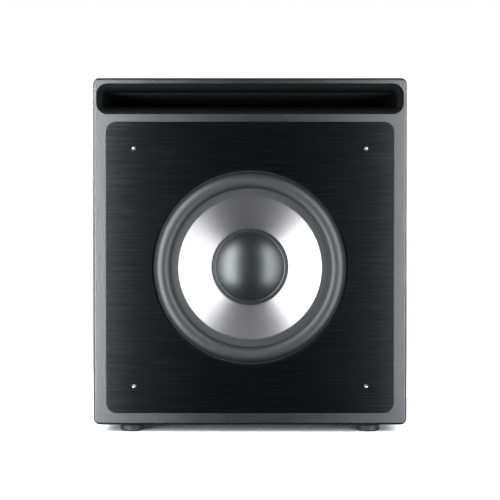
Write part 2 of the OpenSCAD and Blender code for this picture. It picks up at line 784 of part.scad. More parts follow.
module mains_pins() {
  color("silver") on_rear(inlet_at, y_plate)
    for (p = [[-7, -9], [7, -9], [0, -5.5]])
      translate([p[0] - 1, p[1] - 2, 2.5 - inlet_cavity[2]]) cube([2, 4, 12.5]);
}

module fuse_drawer() {
  color("#202020") on_rear(inlet_at, y_plate) difference() {
    translate([-drawer_size[0] / 2, 6, 2 - drawer_size[2]])
      cube([drawer_size[0], drawer_size[1], drawer_size[2] + 2]);
    translate([-10.2, 7.4, -12.6]) cube([20.4, 20, 5.4]);
    translate([-5, 5, 3]) cube([10, 1.8, 3]);
  }
}

module fuse() {
  color("lightblue") on_rear(inlet_at, y_plate) translate([-10, 10, -9.9]) rotate([0, 90, 0])
    cylinder(r = 2.5, h = 20);
}

module power_switch_frame() {
  color("#181818") on_rear(rocker_at, y_plate) difference() {
    union() {
      linear_extrude(2) rounded_rect(25, 33, 2.5);
      translate([-11, -15, -20]) cube([22, 30, 20 + eps]);
    }
    translate([-7.5, -12.2, -12]) cube([15, 24.4, 20]);
    translate([-9, 0, rocker_axis]) rotate([0, 90, 0]) cylinder(r = 1.55, h = 18);
  }
}

// The rocker's two faces meet in a shallow V over its pivot.
module power_rocker() {
  color("#2a0a0a") on_rear(rocker_at, y_plate) translate([0, 0, rocker_axis])
    rotate([rocker_tilt, 0, 0]) {
      rotate([0, 90, 0]) translate([0, 0, -7.2]) linear_extrude(14.4)
        polygon([[-4.4, 0], [-6.6, 9.6], [-4.8, 10.6], [5, 4], [5, -4], [-4.8, -10.6],
          [-6.6, -9.6]]);
      translate([-8.7, 0, 0]) rotate([0, 90, 0]) cylinder(r = 1.5, h = 17.4);
    }
}

module mode_switch_frame() {
  color("silver") on_rear(mode_at, y_plate) difference() {
    union() {
      translate([-14, -5, 0]) cube([28, 10, 1]);
      translate([-6.8, -2.8, -11]) cube([13.6, 5.6, 11 + eps]);
    }
    translate([-5.6, -1.8, -6]) cube([11.2, 3.6, 10]);
    for (s = [-1, 1]) translate([s * 11, 0, -1]) cylinder(r = 1.2, h = 4);
  }
}

module mode_slider() {
  color("#101010") on_rear(mode_at, y_plate) translate([-2.4, -1.7, -5]) cube([4.8, 3.4, 9.5]);
}

module status_lamp() {
  color("limegreen") on_rear([mode_at[0], mode_at[1] + 18], y_plate) {
    translate([0, 0, -amp_t - pot_d]) cylinder(r = 2.5, h = amp_t + pot_d + 1);
    translate([0, 0, 1]) sphere(2.5);
  }
}

// ---- Nodes --------------------------------------------------------------

front_baffle();
rear_panel();
top_panel();
bottom_panel();
side_panel(-1);  // left_side_panel
side_panel(1);  // right_side_panel
port_shelf();
window_brace();
front_plate();
grille_pins();
damping_pads();
rubber_feet();
foot_screws();
driver_basket();
surround();
spider();
driver_gasket();
driver_screws();
magnet_top_plate();
magnet_rings();
magnet_back_plate();
magnet_boot();
motor_screws();
terminal_block();
terminal_tabs();
tinsel_leads();
color("firebrick") tube(red_route, lead_r);  // red_speaker_lead
color("#202020") tube(black_route, lead_r);  // black_speaker_lead
cone();
dust_cap();
voice_coil_former();
voice_coil();
amp_plate();
heat_sink();
amp_gasket();
amp_screws();
amp_cover();
circuit_board();
filter_capacitors();
toroidal_transformer();
transformer_clamp();
control_pots();
pot_nuts();
line_in_shells();
line_in_insulators();
mains_inlet();
mains_pins();
power_switch_frame();
mode_switch_frame();
status_lamp();
knob(level_at);  // level_knob
shaft(level_at);  // level_shaft
knob(crossover_at);  // crossover_knob
shaft(crossover_at);  // crossover_shaft
knob(phase_at);  // phase_knob
shaft(phase_at);  // phase_shaft
power_rocker();
mode_slider();
fuse_drawer();
fuse();
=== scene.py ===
import math

import bmesh
import bpy
from mathutils import Matrix, Vector, noise
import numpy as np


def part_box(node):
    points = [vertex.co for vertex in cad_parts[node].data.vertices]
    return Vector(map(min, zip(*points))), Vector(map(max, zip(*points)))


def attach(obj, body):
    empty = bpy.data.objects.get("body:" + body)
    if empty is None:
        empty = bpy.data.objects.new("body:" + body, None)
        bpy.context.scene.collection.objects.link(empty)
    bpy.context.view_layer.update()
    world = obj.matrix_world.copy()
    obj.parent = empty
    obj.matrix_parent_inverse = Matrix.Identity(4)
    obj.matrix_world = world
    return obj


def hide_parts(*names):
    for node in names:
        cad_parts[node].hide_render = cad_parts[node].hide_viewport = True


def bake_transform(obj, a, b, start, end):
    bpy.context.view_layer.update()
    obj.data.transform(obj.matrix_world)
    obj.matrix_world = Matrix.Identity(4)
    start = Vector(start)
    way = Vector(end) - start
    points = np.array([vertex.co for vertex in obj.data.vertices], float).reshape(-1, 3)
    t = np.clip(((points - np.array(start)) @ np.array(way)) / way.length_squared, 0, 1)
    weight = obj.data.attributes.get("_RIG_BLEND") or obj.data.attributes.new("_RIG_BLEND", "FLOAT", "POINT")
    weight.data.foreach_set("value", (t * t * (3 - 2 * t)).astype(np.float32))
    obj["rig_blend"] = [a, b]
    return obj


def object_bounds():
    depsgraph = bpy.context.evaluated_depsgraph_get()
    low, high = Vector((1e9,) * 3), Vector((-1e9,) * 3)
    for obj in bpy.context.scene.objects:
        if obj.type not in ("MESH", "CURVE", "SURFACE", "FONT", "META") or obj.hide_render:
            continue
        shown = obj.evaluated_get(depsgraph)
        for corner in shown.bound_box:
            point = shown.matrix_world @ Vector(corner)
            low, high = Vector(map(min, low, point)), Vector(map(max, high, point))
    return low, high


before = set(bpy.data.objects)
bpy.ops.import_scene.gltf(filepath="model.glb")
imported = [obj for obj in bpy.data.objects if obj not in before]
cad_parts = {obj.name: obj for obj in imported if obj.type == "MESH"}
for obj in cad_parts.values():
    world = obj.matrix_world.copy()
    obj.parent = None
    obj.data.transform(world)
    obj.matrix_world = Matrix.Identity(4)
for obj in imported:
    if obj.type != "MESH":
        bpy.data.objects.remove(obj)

cad_low, cad_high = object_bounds()


# ---- Camera -------------------------------------------------------------
# A long lens stands square to the front, a little above the middle of the cabinet, and is
# tipped down by less than a degree, so that the front shows with hardly any perspective.
y_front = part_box("front_baffle")[0].y
camera_data = bpy.data.cameras.new("camera")
camera_data.lens = 82.2
camera_data.sensor_width = 36
camera = bpy.data.objects.new("camera", camera_data)
camera.location = (0, y_front - 1.65, 0.2886)
camera.rotation_euler = (math.radians(89.2), 0, 0)
bpy.context.scene.collection.objects.link(camera)
bpy.context.scene.camera = camera


# ---- Studio -------------------------------------------------------------
# A pale floor fades into a white surround. A tall softbox stands on each side, the left one
# brighter, with a weak one overhead and a pair behind that lights the rear.
bpy.context.scene.view_settings.view_transform = "Standard"
y_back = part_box("rear_panel")[1].y


def softbox(name, place, target, width, height, power):
    data = bpy.data.lights.new(name, "AREA")
    data.shape = "RECTANGLE"
    data.size, data.size_y, data.energy = width, height, power
    lamp = bpy.data.objects.new(name, data)
    lamp.location = place
    lamp.rotation_euler = (Vector(target) - Vector(place)).to_track_quat("-Z", "Y").to_euler()
    lamp.visible_camera = False
    bpy.context.scene.collection.objects.link(lamp)


softbox("softbox_left", (-0.43, y_front - 0.34, 0.30), (-0.165, y_front, 0.29), 0.30, 0.92, 10.5)
softbox("softbox_right", (0.43, y_front - 0.34, 0.30), (0.165, y_front, 0.29), 0.30, 0.92, 6.8)
softbox("softbox_over", (0, y_front - 0.30, 1.7), (0, y_front, 0.2), 1.2, 0.8, 1)
softbox("softbox_rear_left", (-1.1, y_back + 1.0, 0.9), (0, y_back, 0.25), 0.8, 1.0, 24)
softbox("softbox_rear_right", (1.2, y_back + 0.9, 0.6), (0, y_back, 0.25), 0.8, 1.0, 17)

surround_light = bpy.data.worlds.new("surround_light")
surround_light.use_nodes = True
bpy.context.scene.world = surround_light
world_nodes, world_links = surround_light.node_tree.nodes, surround_light.node_tree.links
dim_or_white = world_nodes.new("ShaderNodeMix")
dim_or_white.data_type = "RGBA"
dim_or_white.inputs[6].default_value = (0.05, 0.05, 0.054, 1)
dim_or_white.inputs[7].default_value = (1, 1, 1, 1)
world_links.new(world_nodes.new("ShaderNodeLightPath").outputs["Is Camera Ray"],
                dim_or_white.inputs[0])
world_links.new(dim_or_white.outputs[2], world_nodes["Background"].inputs["Color"])


def new_material(name, colour, roughness, metallic=0.0, **sockets):
    """A Principled material. The sockets are named with underscores for spaces."""
    material = bpy.data.materials.new(name)
    material.use_nodes = True
    shader = material.node_tree.nodes["Principled BSDF"]
    shader.inputs["Base Color"].default_value = (*colour, 1)
    shader.inputs["Roughness"].default_value = roughness
    shader.inputs["Metallic"].default_value = metallic
    for socket, value in sockets.items():
        shader.inputs[socket.replace("_", " ")].default_value = value
    return material


def wire(material, kind, inputs, **settings):
    """Adds a node. Each input takes a number, a colour or another node's output."""
    made = material.node_tree.nodes.new(kind)
    for name, value in settings.items():
        setattr(made, name, value)
    for socket, value in inputs.items():
        if isinstance(value, bpy.types.NodeSocket):
            material.node_tree.links.new(value, made.inputs[socket])
        else:
            made.inputs[socket].default_value = value
    return made


def coordinates(material, stretch=(1, 1, 1), centre=(0, 0, 0), source="Object"):
    place = wire(material, "ShaderNodeTexCoord", {}).outputs[source]
    shift = [-c * s for c, s in zip(centre, stretch)]
    return wire(material, "ShaderNodeMapping",
                {"Vector": place, "Location": shift, "Scale": stretch}).outputs["Vector"]


def spread(material, value, low, high, from_low=0.3, from_high=0.7, smooth=False):
    """Maps from_low..from_high to low..high, and holds there."""
    return wire(material, "ShaderNodeMapRange",
                {"Value": value, "From Min": from_low, "From Max": from_high,
                 "To Min": low, "To Max": high},
                interpolation_type="SMOOTHSTEP" if smooth else "LINEAR").outputs["Result"]


floor_size = 8
floor_fade = (0.36, 0.8)
floor_finish = new_material("floor_finish", (0.3, 0.3, 0.3), 0.9)
floor_shader = floor_finish.node_tree.nodes["Principled BSDF"]
floor_radius = wire(floor_finish, "ShaderNodeVectorMath",
                    {0: coordinates(floor_finish)}, operation="LENGTH").outputs["Value"]
floor_near = wire(floor_finish, "ShaderNodeBsdfDiffuse", {"Color": (1.6, 1.6, 1.63, 1)})
floor_far = wire(floor_finish, "ShaderNodeEmission", {"Color": (1, 1, 1, 1), "Strength": 1.0})
floor_seen = wire(floor_finish, "ShaderNodeMixShader",
                  {0: spread(floor_finish, floor_radius, 0, 1, *floor_fade, smooth=True),
                   1: floor_near.outputs[0], 2: floor_far.outputs[0]})
floor_mix = wire(floor_finish, "ShaderNodeMixShader",
                 {0: wire(floor_finish, "ShaderNodeLightPath", {}).outputs["Is Camera Ray"],
                  1: floor_shader.outputs[0], 2: floor_seen.outputs[0]})
floor_finish.node_tree.links.new(
    floor_mix.outputs[0], floor_finish.node_tree.nodes["Material Output"].inputs["Surface"])
floor_bm = bmesh.new()
bmesh.ops.create_grid(floor_bm, x_segments=1, y_segments=1, size=floor_size)
floor_mesh = bpy.data.meshes.new("floor")
floor_bm.to_mesh(floor_mesh)
floor_bm.free()
floor_mesh.materials.append(floor_finish)
floor = bpy.data.objects.new("floor", floor_mesh)
bpy.context.scene.collection.objects.link(floor)
floor.visible_glossy = floor.visible_diffuse = floor.visible_shadow = False


# ---- Cabinet ------------------------------------------------------------
# Seven MDF boards, glued and then sprayed as one with a satin black texture paint that hides
# the joints. The baffle is routed for the slot port, the front plate and the driver, and the
# long edges and the rims of the front and rear are rounded over.
mm = 0.001
edge_round = 9 * mm
face_round = 4 * mm


def speckle(material, size, detail=2.0, stretch=(1, 1, 1), source="Object"):
    """Noise whose patches are about size metres across, as a value from 0 to 1."""
    return wire(material, "ShaderNodeTexNoise",
                {"Vector": coordinates(material, stretch, source=source),
                 "Scale": 1 / size, "Detail": detail}).outputs[0]


def feed(material, socket, value):
    """Links a value to a socket of the material's shader."""
    shader = material.node_tree.nodes["Principled BSDF"]
    material.node_tree.links.new(value, shader.inputs[socket])


def tint(material, factor, colour):
    """Blends the colour over what the material has so far, where factor is high."""
    base = material.node_tree.nodes["Principled BSDF"].inputs["Base Color"]
    under = base.links[0].from_socket if base.links else tuple(base.default_value)
    feed(material, "Base Color",
         wire(material, "ShaderNodeMix", {0: factor, 6: under, 7: (*colour, 1)},
              data_type="RGBA").outputs[2])


def vary(material, factor, low, high):
    """Lets the roughness wander between two values."""
    feed(material, "Roughness", spread(material, factor, low, high))


def emboss(material, height, depth):
    """Adds a bump of that depth in metres to those the material has."""
    links = material.node_tree.nodes["Principled BSDF"].inputs["Normal"].links
    inputs = {"Height": height, "Distance": depth}
    if links:
        inputs["Normal"] = links[0].from_socket
    feed(material, "Normal", wire(material, "ShaderNodeBump", inputs).outputs["Normal"])


def edges_of(material, width):
    """1 along sharp edges and 0 away from them, broken up as wear is."""
    soft = wire(material, "ShaderNodeBevel", {"Radius": width}, samples=4).outputs[0]
    true = wire(material, "ShaderNodeNewGeometry", {}).outputs["Normal"]
    turn = wire(material, "ShaderNodeVectorMath", {0: soft, 1: true},
                operation="DOT_PRODUCT").outputs["Value"]
    edge = spread(material, turn, 1, 0, 0.80, 0.98)
    broken = spread(material, speckle(material, 6 * width, 4), 0.25, 1, 0.4, 0.65)
    return wire(material, "ShaderNodeMath", {0: edge, 1: broken},
                operation="MULTIPLY").outputs[0]


def finish(name, colour, rough, second=None, edge_wear_and_sheen=None, bumps=(), metallic=0.0, **sockets):
    """A whole finish, with sizes in mm. rough is (low, high, patch, detail), second is
    (colour, patch, detail), edge_wear_and_sheen is (colour, width), a lighter colour along edges for wear
    and painted sheen, and a bump is (patch, detail, depth)."""
    low, high, *patches = rough
    material = new_material(name, colour, (low + high) / 2, metallic, **sockets)
    if second:
        tone, patch, detail = second
        tint(material, spread(material, speckle(material, patch * mm, detail), 0, 1), tone)
    # Lightens the edges, partly as wear and partly as painted sheen along them.
    if edge_wear_and_sheen:
        tint(material, edges_of(material, edge_wear_and_sheen[1] * mm), edge_wear_and_sheen[0])
    vary(material, speckle(material, patches[0] * mm, patches[1]), low, high)
    for patch, detail, depth in bumps:
        emboss(material, speckle(material, patch * mm, detail), depth * mm)
    return material


def block(low, high):
    """A box between two corners."""
    bm = bmesh.new()
    bmesh.ops.create_cube(bm, size=1)
    low, high = Vector(low), Vector(high)
    bmesh.ops.scale(bm, vec=high - low, verts=bm.verts)
    bmesh.ops.translate(bm, vec=(low + high) / 2, verts=bm.verts)
    return bm


def edges_along(bm, axis, keep=lambda middle: True):
    """The edges that run along an axis, 0 to 2, and whose middle passes the test."""
    found = []
    for edge in bm.edges:
        a, b = (v.co for v in edge.verts)
        if abs((b - a)[axis]) > 0.999 * (b - a).length and keep((a + b) / 2):
            found.append(edge)
    return found


def edges_at(bm, axis, value):
    """The edges that lie in one plane square to an axis."""
    return [e for e in bm.edges if all(abs(v.co[axis] - value) < 1e-6 for v in e.verts)]


def rounded(bm, edges, radius, segments):
    bmesh.ops.bevel(bm, geom=edges, offset=radius, segments=segments, profile=0.5,
                    affect="EDGES", material=-1)


def carve(bm, *cutters):
    """Cuts each of the cutters out of bm, and returns what is left."""
    objects = []
    for shape in (bm, *cutters):
        bmesh.ops.recalc_face_normals(shape, faces=shape.faces)
        mesh = bpy.data.meshes.new("shape")
        shape.to_mesh(mesh)
        shape.free()
        objects.append(bpy.data.objects.new("shape", mesh))
        bpy.context.scene.collection.objects.link(objects[-1])
    for tool in objects[1:]:
        cut = objects[0].modifiers.new("cut", "BOOLEAN")
        cut.object, cut.operation, cut.solver = tool, "DIFFERENCE", "EXACT"
    left = bmesh.new()
    bpy.context.view_layer.update()
    left.from_object(objects[0], bpy.context.evaluated_depsgraph_get())
    for used in objects:
        bpy.data.objects.remove(used)
    return left


def piece_from(bm, name, body, slot, material, *stands_for, sharp=32):
    """Makes the finished piece, which rides on a body and stands for CAD nodes."""
    bmesh.ops.remove_doubles(bm, verts=bm.verts, dist=1e-6)
    bmesh.ops.dissolve_degenerate(bm, dist=1e-7, edges=bm.edges)
    bmesh.ops.recalc_face_normals(bm, faces=bm.faces)
    mesh = bpy.data.meshes.new(name)
    bm.to_mesh(mesh)
    bm.free()
    mesh.materials.append(material)
    mesh.shade_smooth()
    mesh.set_sharp_from_angle(angle=math.radians(sharp))
    piece = bpy.data.objects.new(name, mesh)
    bpy.context.scene.collection.objects.link(piece)
    shading = piece.modifiers.new("even_shading", "WEIGHTED_NORMAL")
    shading.keep_sharp = True
    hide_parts(*stands_for)
    if body:
        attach(piece, body)
    return piece


def drum(radius, y0, y1, x=0.0, z=0.0, segments=96):
    """A disc or rod along Y, used whole or as a cutter."""
    bm = bmesh.new()
    bmesh.ops.create_cone(bm, cap_ends=True, segments=segments, radius1=radius,
                          radius2=radius, depth=y1 - y0)
    bmesh.ops.rotate(bm, cent=(0, 0, 0), matrix=Matrix.Rotation(math.radians(90), 3, "X"),
                     verts=bm.verts)
    bmesh.ops.translate(bm, vec=(x, (y0 + y1) / 2, z), verts=bm.verts)
    return bm


def rounded_block(width, height, y0, y1, corner, x=0.0, z=0.0, segments=14):
    """A box along Y whose outline has round corners."""
    bm = block((x - width / 2, y0, z - height / 2), (x + width / 2, y1, z + height / 2))
    rounded(bm, edges_along(bm, 1), corner, segments)
    return bm


# Its edges are tinted lighter, a little for wear and mostly as painted sheen.
cabinet_paint = finish("cabinet_paint", (0.0012, 0.0013, 0.0015), (0.31, 0.37, 40, 3),
                       ((0.0024, 0.0026, 0.0030), 1.5, 3), ((0.010, 0.0105, 0.0115), 1.2),
                       [(1.5, 3, 0.5)], Specular_IOR_Level=1.0,
                       Specular_Tint=(0.94, 1.0, 1.05, 1))
# Inside the port's mouth the sprayed coat is thin, dull and nearly black. Behind it, the underside of the
# top board is painted a lighter grey, as painted light that stands in for the light reaching into the port.
mouth_paint = finish("mouth_paint", (0.0010, 0.0011, 0.0013), (0.56, 0.68, 15, 3),
                     ((0.0016, 0.0018, 0.0021), 2, 3), bumps=[(1.5, 3, 0.3)],
                     Specular_IOR_Level=0.08)
throat_painted_light = finish("throat_painted_light", (0.025, 0.026, 0.028), (0.64, 0.76, 15, 3),
                      ((0.035, 0.036, 0.038), 2, 3), bumps=[(1.5, 3, 0.3)],
                      Specular_IOR_Level=0.2)

baffle_low, baffle_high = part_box("front_baffle")
cab_width = baffle_high.x - baffle_low.x
cab_height = baffle_high.z - baffle_low.z
cab_middle = (baffle_high.z + baffle_low.z) / 2
y_in_front = baffle_high.y
inner_width = 2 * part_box("right_side_panel")[0].x
inner_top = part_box("top_panel")[0].z
flare = 11 * mm
throat_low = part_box("port_shelf")[1].z
mouth_height = inner_top - throat_low + 2 * flare
mouth_middle = (inner_top + throat_low) / 2
driver_z = 240 * mm

# The port's cutter narrows in step with a quarter round, and then runs straight through.
mouth = rounded_block(inner_width + 2 * flare, mouth_height, y_front - 3 * mm, y_front,
                      16 * mm, z=mouth_middle)
inner_face = max(mouth.faces, key=lambda f: f.calc_center_median().y)
flare_steps = 12
for step in range(flare_steps):
    turned_from = math.radians(90 * step / flare_steps)
    turned_to = math.radians(90 * (step + 1) / flare_steps)
    bmesh.ops.inset_region(
        mouth, faces=[inner_face], use_even_offset=True,
        thickness=flare * (math.sin(turned_to) - math.sin(turned_from)),
        depth=flare * (math.cos(turned_from) - math.cos(turned_to)))
through = bmesh.ops.extrude_face_region(mouth, geom=[inner_face])
bmesh.ops.translate(mouth, vec=(0, 20 * mm, 0),
                    verts=[g for g in through["geom"] if isinstance(g, bmesh.types.BMVert)])
# The extrusion leaves its first face behind, which would shut the port.
bmesh.ops.delete(mouth, geom=[f for f in mouth.faces if f is inner_face and f.is_valid
                              and f.calc_center_median().y < y_in_front], context="FACES_ONLY")

plate_width, plate_height, plate_corner, plate_depth = 416 * mm, 421 * mm, 15 * mm, 2 * mm
plate_gap = 0.4 * mm
baffle = rounded_block(cab_width, cab_height, y_front, y_in_front, edge_round, z=cab_middle)
rounded(baffle, edges_at(baffle, 1, y_front), face_round, 8)
baffle = carve(
    baffle, mouth,
    rounded_block(plate_width + 2 * plate_gap, plate_height + 2 * plate_gap,
                  y_front - 5 * mm, y_front + plate_depth, plate_corner + plate_gap,
                  z=driver_z),
    drum(159 * mm, y_front - 5 * mm, y_front + 12 * mm, z=driver_z, segments=192),
    drum(141 * mm, y_front - 5 * mm, y_in_front + 5 * mm, z=driver_z, segments=192))
past_rim = 0.0175 * mm
for face in baffle.faces:
    at = face.calc_center_median()
    if (at.y > y_front + past_rim and abs(at.x) < inner_width / 2 + flare
            and abs(at.z - mouth_middle) < mouth_height / 2 and abs(face.normal.y) < 0.9999):
        face.material_index = 1
painted_baffle = piece_from(baffle, "painted_baffle", "cabinet", "cabinet_paint", cabinet_paint,
                            "front_baffle")
painted_baffle.data.materials.append(mouth_paint)

rear_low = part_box("rear_panel")[0]
rear = rounded_block(cab_width, cab_height, rear_low.y, y_back, edge_round, z=cab_middle)
rounded(rear, edges_at(rear, 1, y_back), face_round, 8)
amp_z = 222 * mm
rear = carve(rear, block((-118 * mm, rear_low.y - 0.01, amp_z - 148 * mm),
                         (118 * mm, y_back + 0.01, amp_z + 148 * mm)))
piece_from(rear, "painted_rear_panel", "cabinet", "cabinet_paint", cabinet_paint, "rear_panel")

for board in ("top_panel", "bottom_panel", "left_side_panel", "right_side_panel"):
    board_low, board_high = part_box(board)
    board_bm = block(board_low, board_high)
    outer_z = {"top_panel": board_high.z, "bottom_panel": board_low.z}.get(board)
    if outer_z is not None:
        rounded(board_bm, edges_along(board_bm, 1, lambda m: abs(m.z - outer_z) < 1e-5),
                edge_round, 14)
    painted = piece_from(board_bm, "painted_" + board, "cabinet", "cabinet_paint",
                         cabinet_paint, board)
    # The top board's underside, seen through the port, takes the lighter grey that is painted light.
    if board == "top_panel":
        painted.data.materials.append(throat_painted_light)
        for face in painted.data.polygons:
            face.material_index = int(face.normal.z < -0.99)


def dress(material, *nodes):
    """Gives carried-over CAD nodes a finish through their own slots."""
    for name in nodes:
        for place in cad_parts[name].material_slots:
            place.material = material


dress(cabinet_paint, "port_shelf")


# ---- Brace and damping pads ---------------------------------------------
# Inside, a window brace of bare MDF ties the four walls together, and a pad of needled
# polyester felt is stapled to each side wall to damp the air behind the driver.
raw_mdf = finish("raw_mdf", (0.36, 0.23, 0.12), (0.78, 0.92, 12, 2),
                 ((0.24, 0.15, 0.075), 1.6, 5), bumps=[(0.9, 4, 0.2)])
dress(raw_mdf, "window_brace")

padding = finish("padding", (0.30, 0.30, 0.29), (0.88, 0.98, 20, 2),
                 ((0.42, 0.42, 0.40), 5, 6), Sheen_Weight=0.4)
emboss(padding, speckle(padding, 3 * mm, 6, stretch=(1, 0.4, 1)), 1.5 * mm)
pads_low, pads_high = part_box("damping_pads")
pad_thick, pad_margin = 22 * mm, 2 * mm
for side, name in ((-1, "damping_pad_left"), (1, "damping_pad_right")):
    wall_x = side * pads_high.x
    near_x, far_x = sorted((wall_x, wall_x - side * pad_thick))
    pad = block((near_x, pads_low.y + pad_margin, pads_low.z + pad_margin),
                (far_x, pads_high.y - pad_margin, pads_high.z - pad_margin))
    for axis, cuts in enumerate((3, 17, 51)):
        bmesh.ops.subdivide_edges(pad, edges=edges_along(pad, axis), cuts=cuts,
                                  use_grid_fill=True)
    middle = (pads_low + pads_high) / 2
    for vert in pad.verts:
        off_wall = abs(vert.co.x - wall_x) / pad_thick
        across = abs(vert.co.y - middle.y) / (pads_high.y - middle.y)
        along = abs(vert.co.z - middle.z) / (pads_high.z - middle.z)
        crown = 1 - 0.45 * max(across, along ** 6) ** 6
        fluff = 0.12 * noise.fractal(vert.co * 30, 1.0, 2.0, 4)
        vert.co.x = wall_x - side * pad_thick * off_wall * min(0.97, (crown + fluff) * 0.94)
        vert.co.y += (middle.y - vert.co.y) * 0.05 * off_wall * (1 - along ** 4)
    bmesh.ops.smooth_vert(pad, verts=[v for v in pad.verts if abs(v.co.x - wall_x) > pad_margin],
                          factor=0.5, use_axis_x=True, use_axis_y=True, use_axis_z=True)
    felt = piece_from(pad, name, "cabinet", "padding", padding, "damping_pads", sharp=180)


# ---- Front plate --------------------------------------------------------
# A 2 mm aluminium plate, brushed from side to side and anodised black, is let flush into
# the baffle over the driver's flange. Its round opening has a small bright chamfer.
def turned(profile, centre, out=(0, -1, 0), steps=96, bm=None, closed=True):
    """Spins a profile of (radius, height) pairs, in mm, about a line through centre."""
    bm = bm or bmesh.new()
    centre, out = Vector(centre), Vector(out)
    side = out.orthogonal().normalized()
    verts = [bm.verts.new(centre + side * r * mm + out * h * mm) for r, h in profile]
    pairs = list(zip(verts, verts[1:])) + ([(verts[-1], verts[0])] if closed else [])
    lines = [bm.edges.new(pair) for pair in pairs]
    bmesh.ops.spin(bm, geom=verts + lines, cent=centre, axis=out, angle=math.tau,
                   steps=steps, use_merge=True)
    bmesh.ops.remove_doubles(bm, verts=bm.verts, dist=1e-7)
    return bm


def flat_map(piece, u_axis, v_axis):
    """Maps a flat piece square on, with U along u_axis and V along v_axis."""
    layer = piece.data.uv_layers.new(name="brushing")
    for loop in piece.data.loops:
        place = piece.data.vertices[loop.vertex_index].co
        layer.data[loop.index].uv = (place[u_axis], place[v_axis])


def highlights_along(material, uv_map):
    """Lays the brushing, and so the stretched highlights, by a UV map."""
    feed(material, "Tangent", wire(material, "ShaderNodeTangent", {},
                                   direction_type="UV_MAP", uv_map=uv_map).outputs[0])


driver_centre = Vector((0, y_front, driver_z))
pin_places = [(sx * 168 * mm, driver_z + sz * 172 * mm) for sx in (-1, 1) for sz in (-1, 1)]
front_plate_finish = new_material("front_plate", (0.0004, 0.0005, 0.0006), 0.26,
                                  Anisotropic=0.35, Specular_IOR_Level=0.46,
                                  Specular_Tint=(0.90, 1.0, 1.05, 1))
highlights_along(front_plate_finish, "brushing")
long_strokes = speckle(front_plate_finish, 0.9 * mm, 3, stretch=(0.012, 1, 1))
fine_strokes = speckle(front_plate_finish, 0.35 * mm, 2, stretch=(0.02, 1, 1))
emboss(front_plate_finish, long_strokes, 0.06 * mm)
emboss(front_plate_finish, fine_strokes, 0.03 * mm)
vary(front_plate_finish, long_strokes, 0.22, 0.30)
tint(front_plate_finish, spread(front_plate_finish, long_strokes, 0, 1),
     (0.0008, 0.0010, 0.0012))
tint(front_plate_finish, edges_of(front_plate_finish, 0.25 * mm), (0.05, 0.053, 0.056))

plate = rounded_block(plate_width, plate_height, y_front, y_front + plate_depth,
                      plate_corner, z=driver_z)
rounded(plate, edges_at(plate, 1, y_front), 0.3 * mm, 3)
opening = turned([(0, -6), (141.8, -6), (141.8, -0.7), (142.7, 0.2), (142.7, 6), (0, 6)],
                 driver_centre, steps=192)
plate = carve(plate, opening,
              *[drum(3.2 * mm, y_front - 5 * mm, y_front + 5 * mm, x, z, 48)
                for x, z in pin_places])
front_plate = piece_from(plate, "brushed_plate", "cabinet", "front_plate",
                         front_plate_finish, "front_plate")
flat_map(front_plate, 2, 0)


# ---- Grille pins --------------------------------------------------------
# Four bright nickelled pins with round ends, pressed into the baffle through the plate. A
# grille frame, which isn't fitted, would snap on to them.
grille_pin = finish("grille_pin", (0.78, 0.77, 0.74), (0.16, 0.30, 1.2, 3), None,
                    ((0.9, 0.89, 0.86), 0.3), [(0.5, 2, 0.01)], 1.0)


def arc(radius, start, stop, centre=(0.0, 0.0), steps=8):
    """Points on a circle, in degrees from the radius line towards the height line."""
    return [(centre[0] + radius * math.cos(math.radians(start + (stop - start) * n / steps)),
             centre[1] + radius * math.sin(math.radians(start + (stop - start) * n / steps)))
            for n in range(steps + 1)]


pin_tip = (cad_low.y - y_front) / -mm
pins = bmesh.new()
for x, z in pin_places:
    turned([(0, -15), (2.5, -15), (2.5, -2), (3.1, -2), (3.1, -0.25), (2.85, 0), (2.3, 0),
            (2.3, 0.8), (2.0, 1.1), (2.0, pin_tip - 3.2), (2.2, pin_tip - 2.9)]
           + arc(2.2, 0, 90, (0, pin_tip - 2.2)), (x, y_front, z), steps=40, bm=pins)
piece_from(pins, "nickelled_pins", "cabinet", "grille_pin", grille_pin, "grille_pins")


# ---- Feet ---------------------------------------------------------------
# Four moulded rubber feet, each held under the bottom board by a screw up its middle, with
# a moulded bead round the top and a soft edge where it meets the floor.
rubber = finish("rubber", (0.018, 0.018, 0.019), (0.52, 0.72, 6, 3),
                ((0.030, 0.030, 0.031), 4, 4), bumps=[(0.7, 3, 0.08)])
feet_low, feet_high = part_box("rubber_feet")
feet = bmesh.new()
foot_radius = 17 * mm
for x in (feet_low.x + foot_radius, feet_high.x - foot_radius):
    for y in (feet_low.y + foot_radius, feet_high.y - foot_radius):
        turned([(2.4, 12), (15.6, 12)] + arc(0.9, 90, -90, (16.1, 10.9), 6)
               + [(15.6, 9.6), (16.2, 8.8), (16.6, 4.2)]
               + arc(2.4, 0, -80, (14.2, 2.4), 6)
               + [(13.6, 0), (8, 0), (7, 0.6), (7, 5), (2.4, 5)],
               (x, y, 0), (0, 0, 1), 72, feet)
piece_from(feet, "moulded_feet", "cabinet", "rubber", rubber, "rubber_feet")

screw_black = finish("screw_black", (0.05, 0.05, 0.052), (0.30, 0.48, 1.5, 3), None,
                     ((0.16, 0.16, 0.16), 0.3), [(0.5, 2, 0.02)], 0.85)
dress(screw_black, "foot_screws", "driver_screws", "motor_screws")


# ---- Surround -----------------------------------------------------------
# The rubber half roll that carries the cone. It is moulded in one piece, its inner lip is
# glued over the cone's rim, and its outer lip is clamped under the front plate.
def polar_map(piece, centre):
    """Maps a turned piece: U runs out along the radius, and V round the axis."""
    layer = piece.data.uv_layers.new(name="turning")
    for face in piece.data.polygons:
        facing = math.atan2(face.center.z - centre.z, face.center.x - centre.x)
        for loop_index in face.loop_indices:
            place = piece.data.vertices[piece.data.loops[loop_index].vertex_index].co - centre
            turn = math.remainder(math.atan2(place.z, place.x) - facing, math.tau)
            layer.data[loop_index].uv = (math.hypot(place.x, place.z),
                                         (facing + turn) / math.tau)


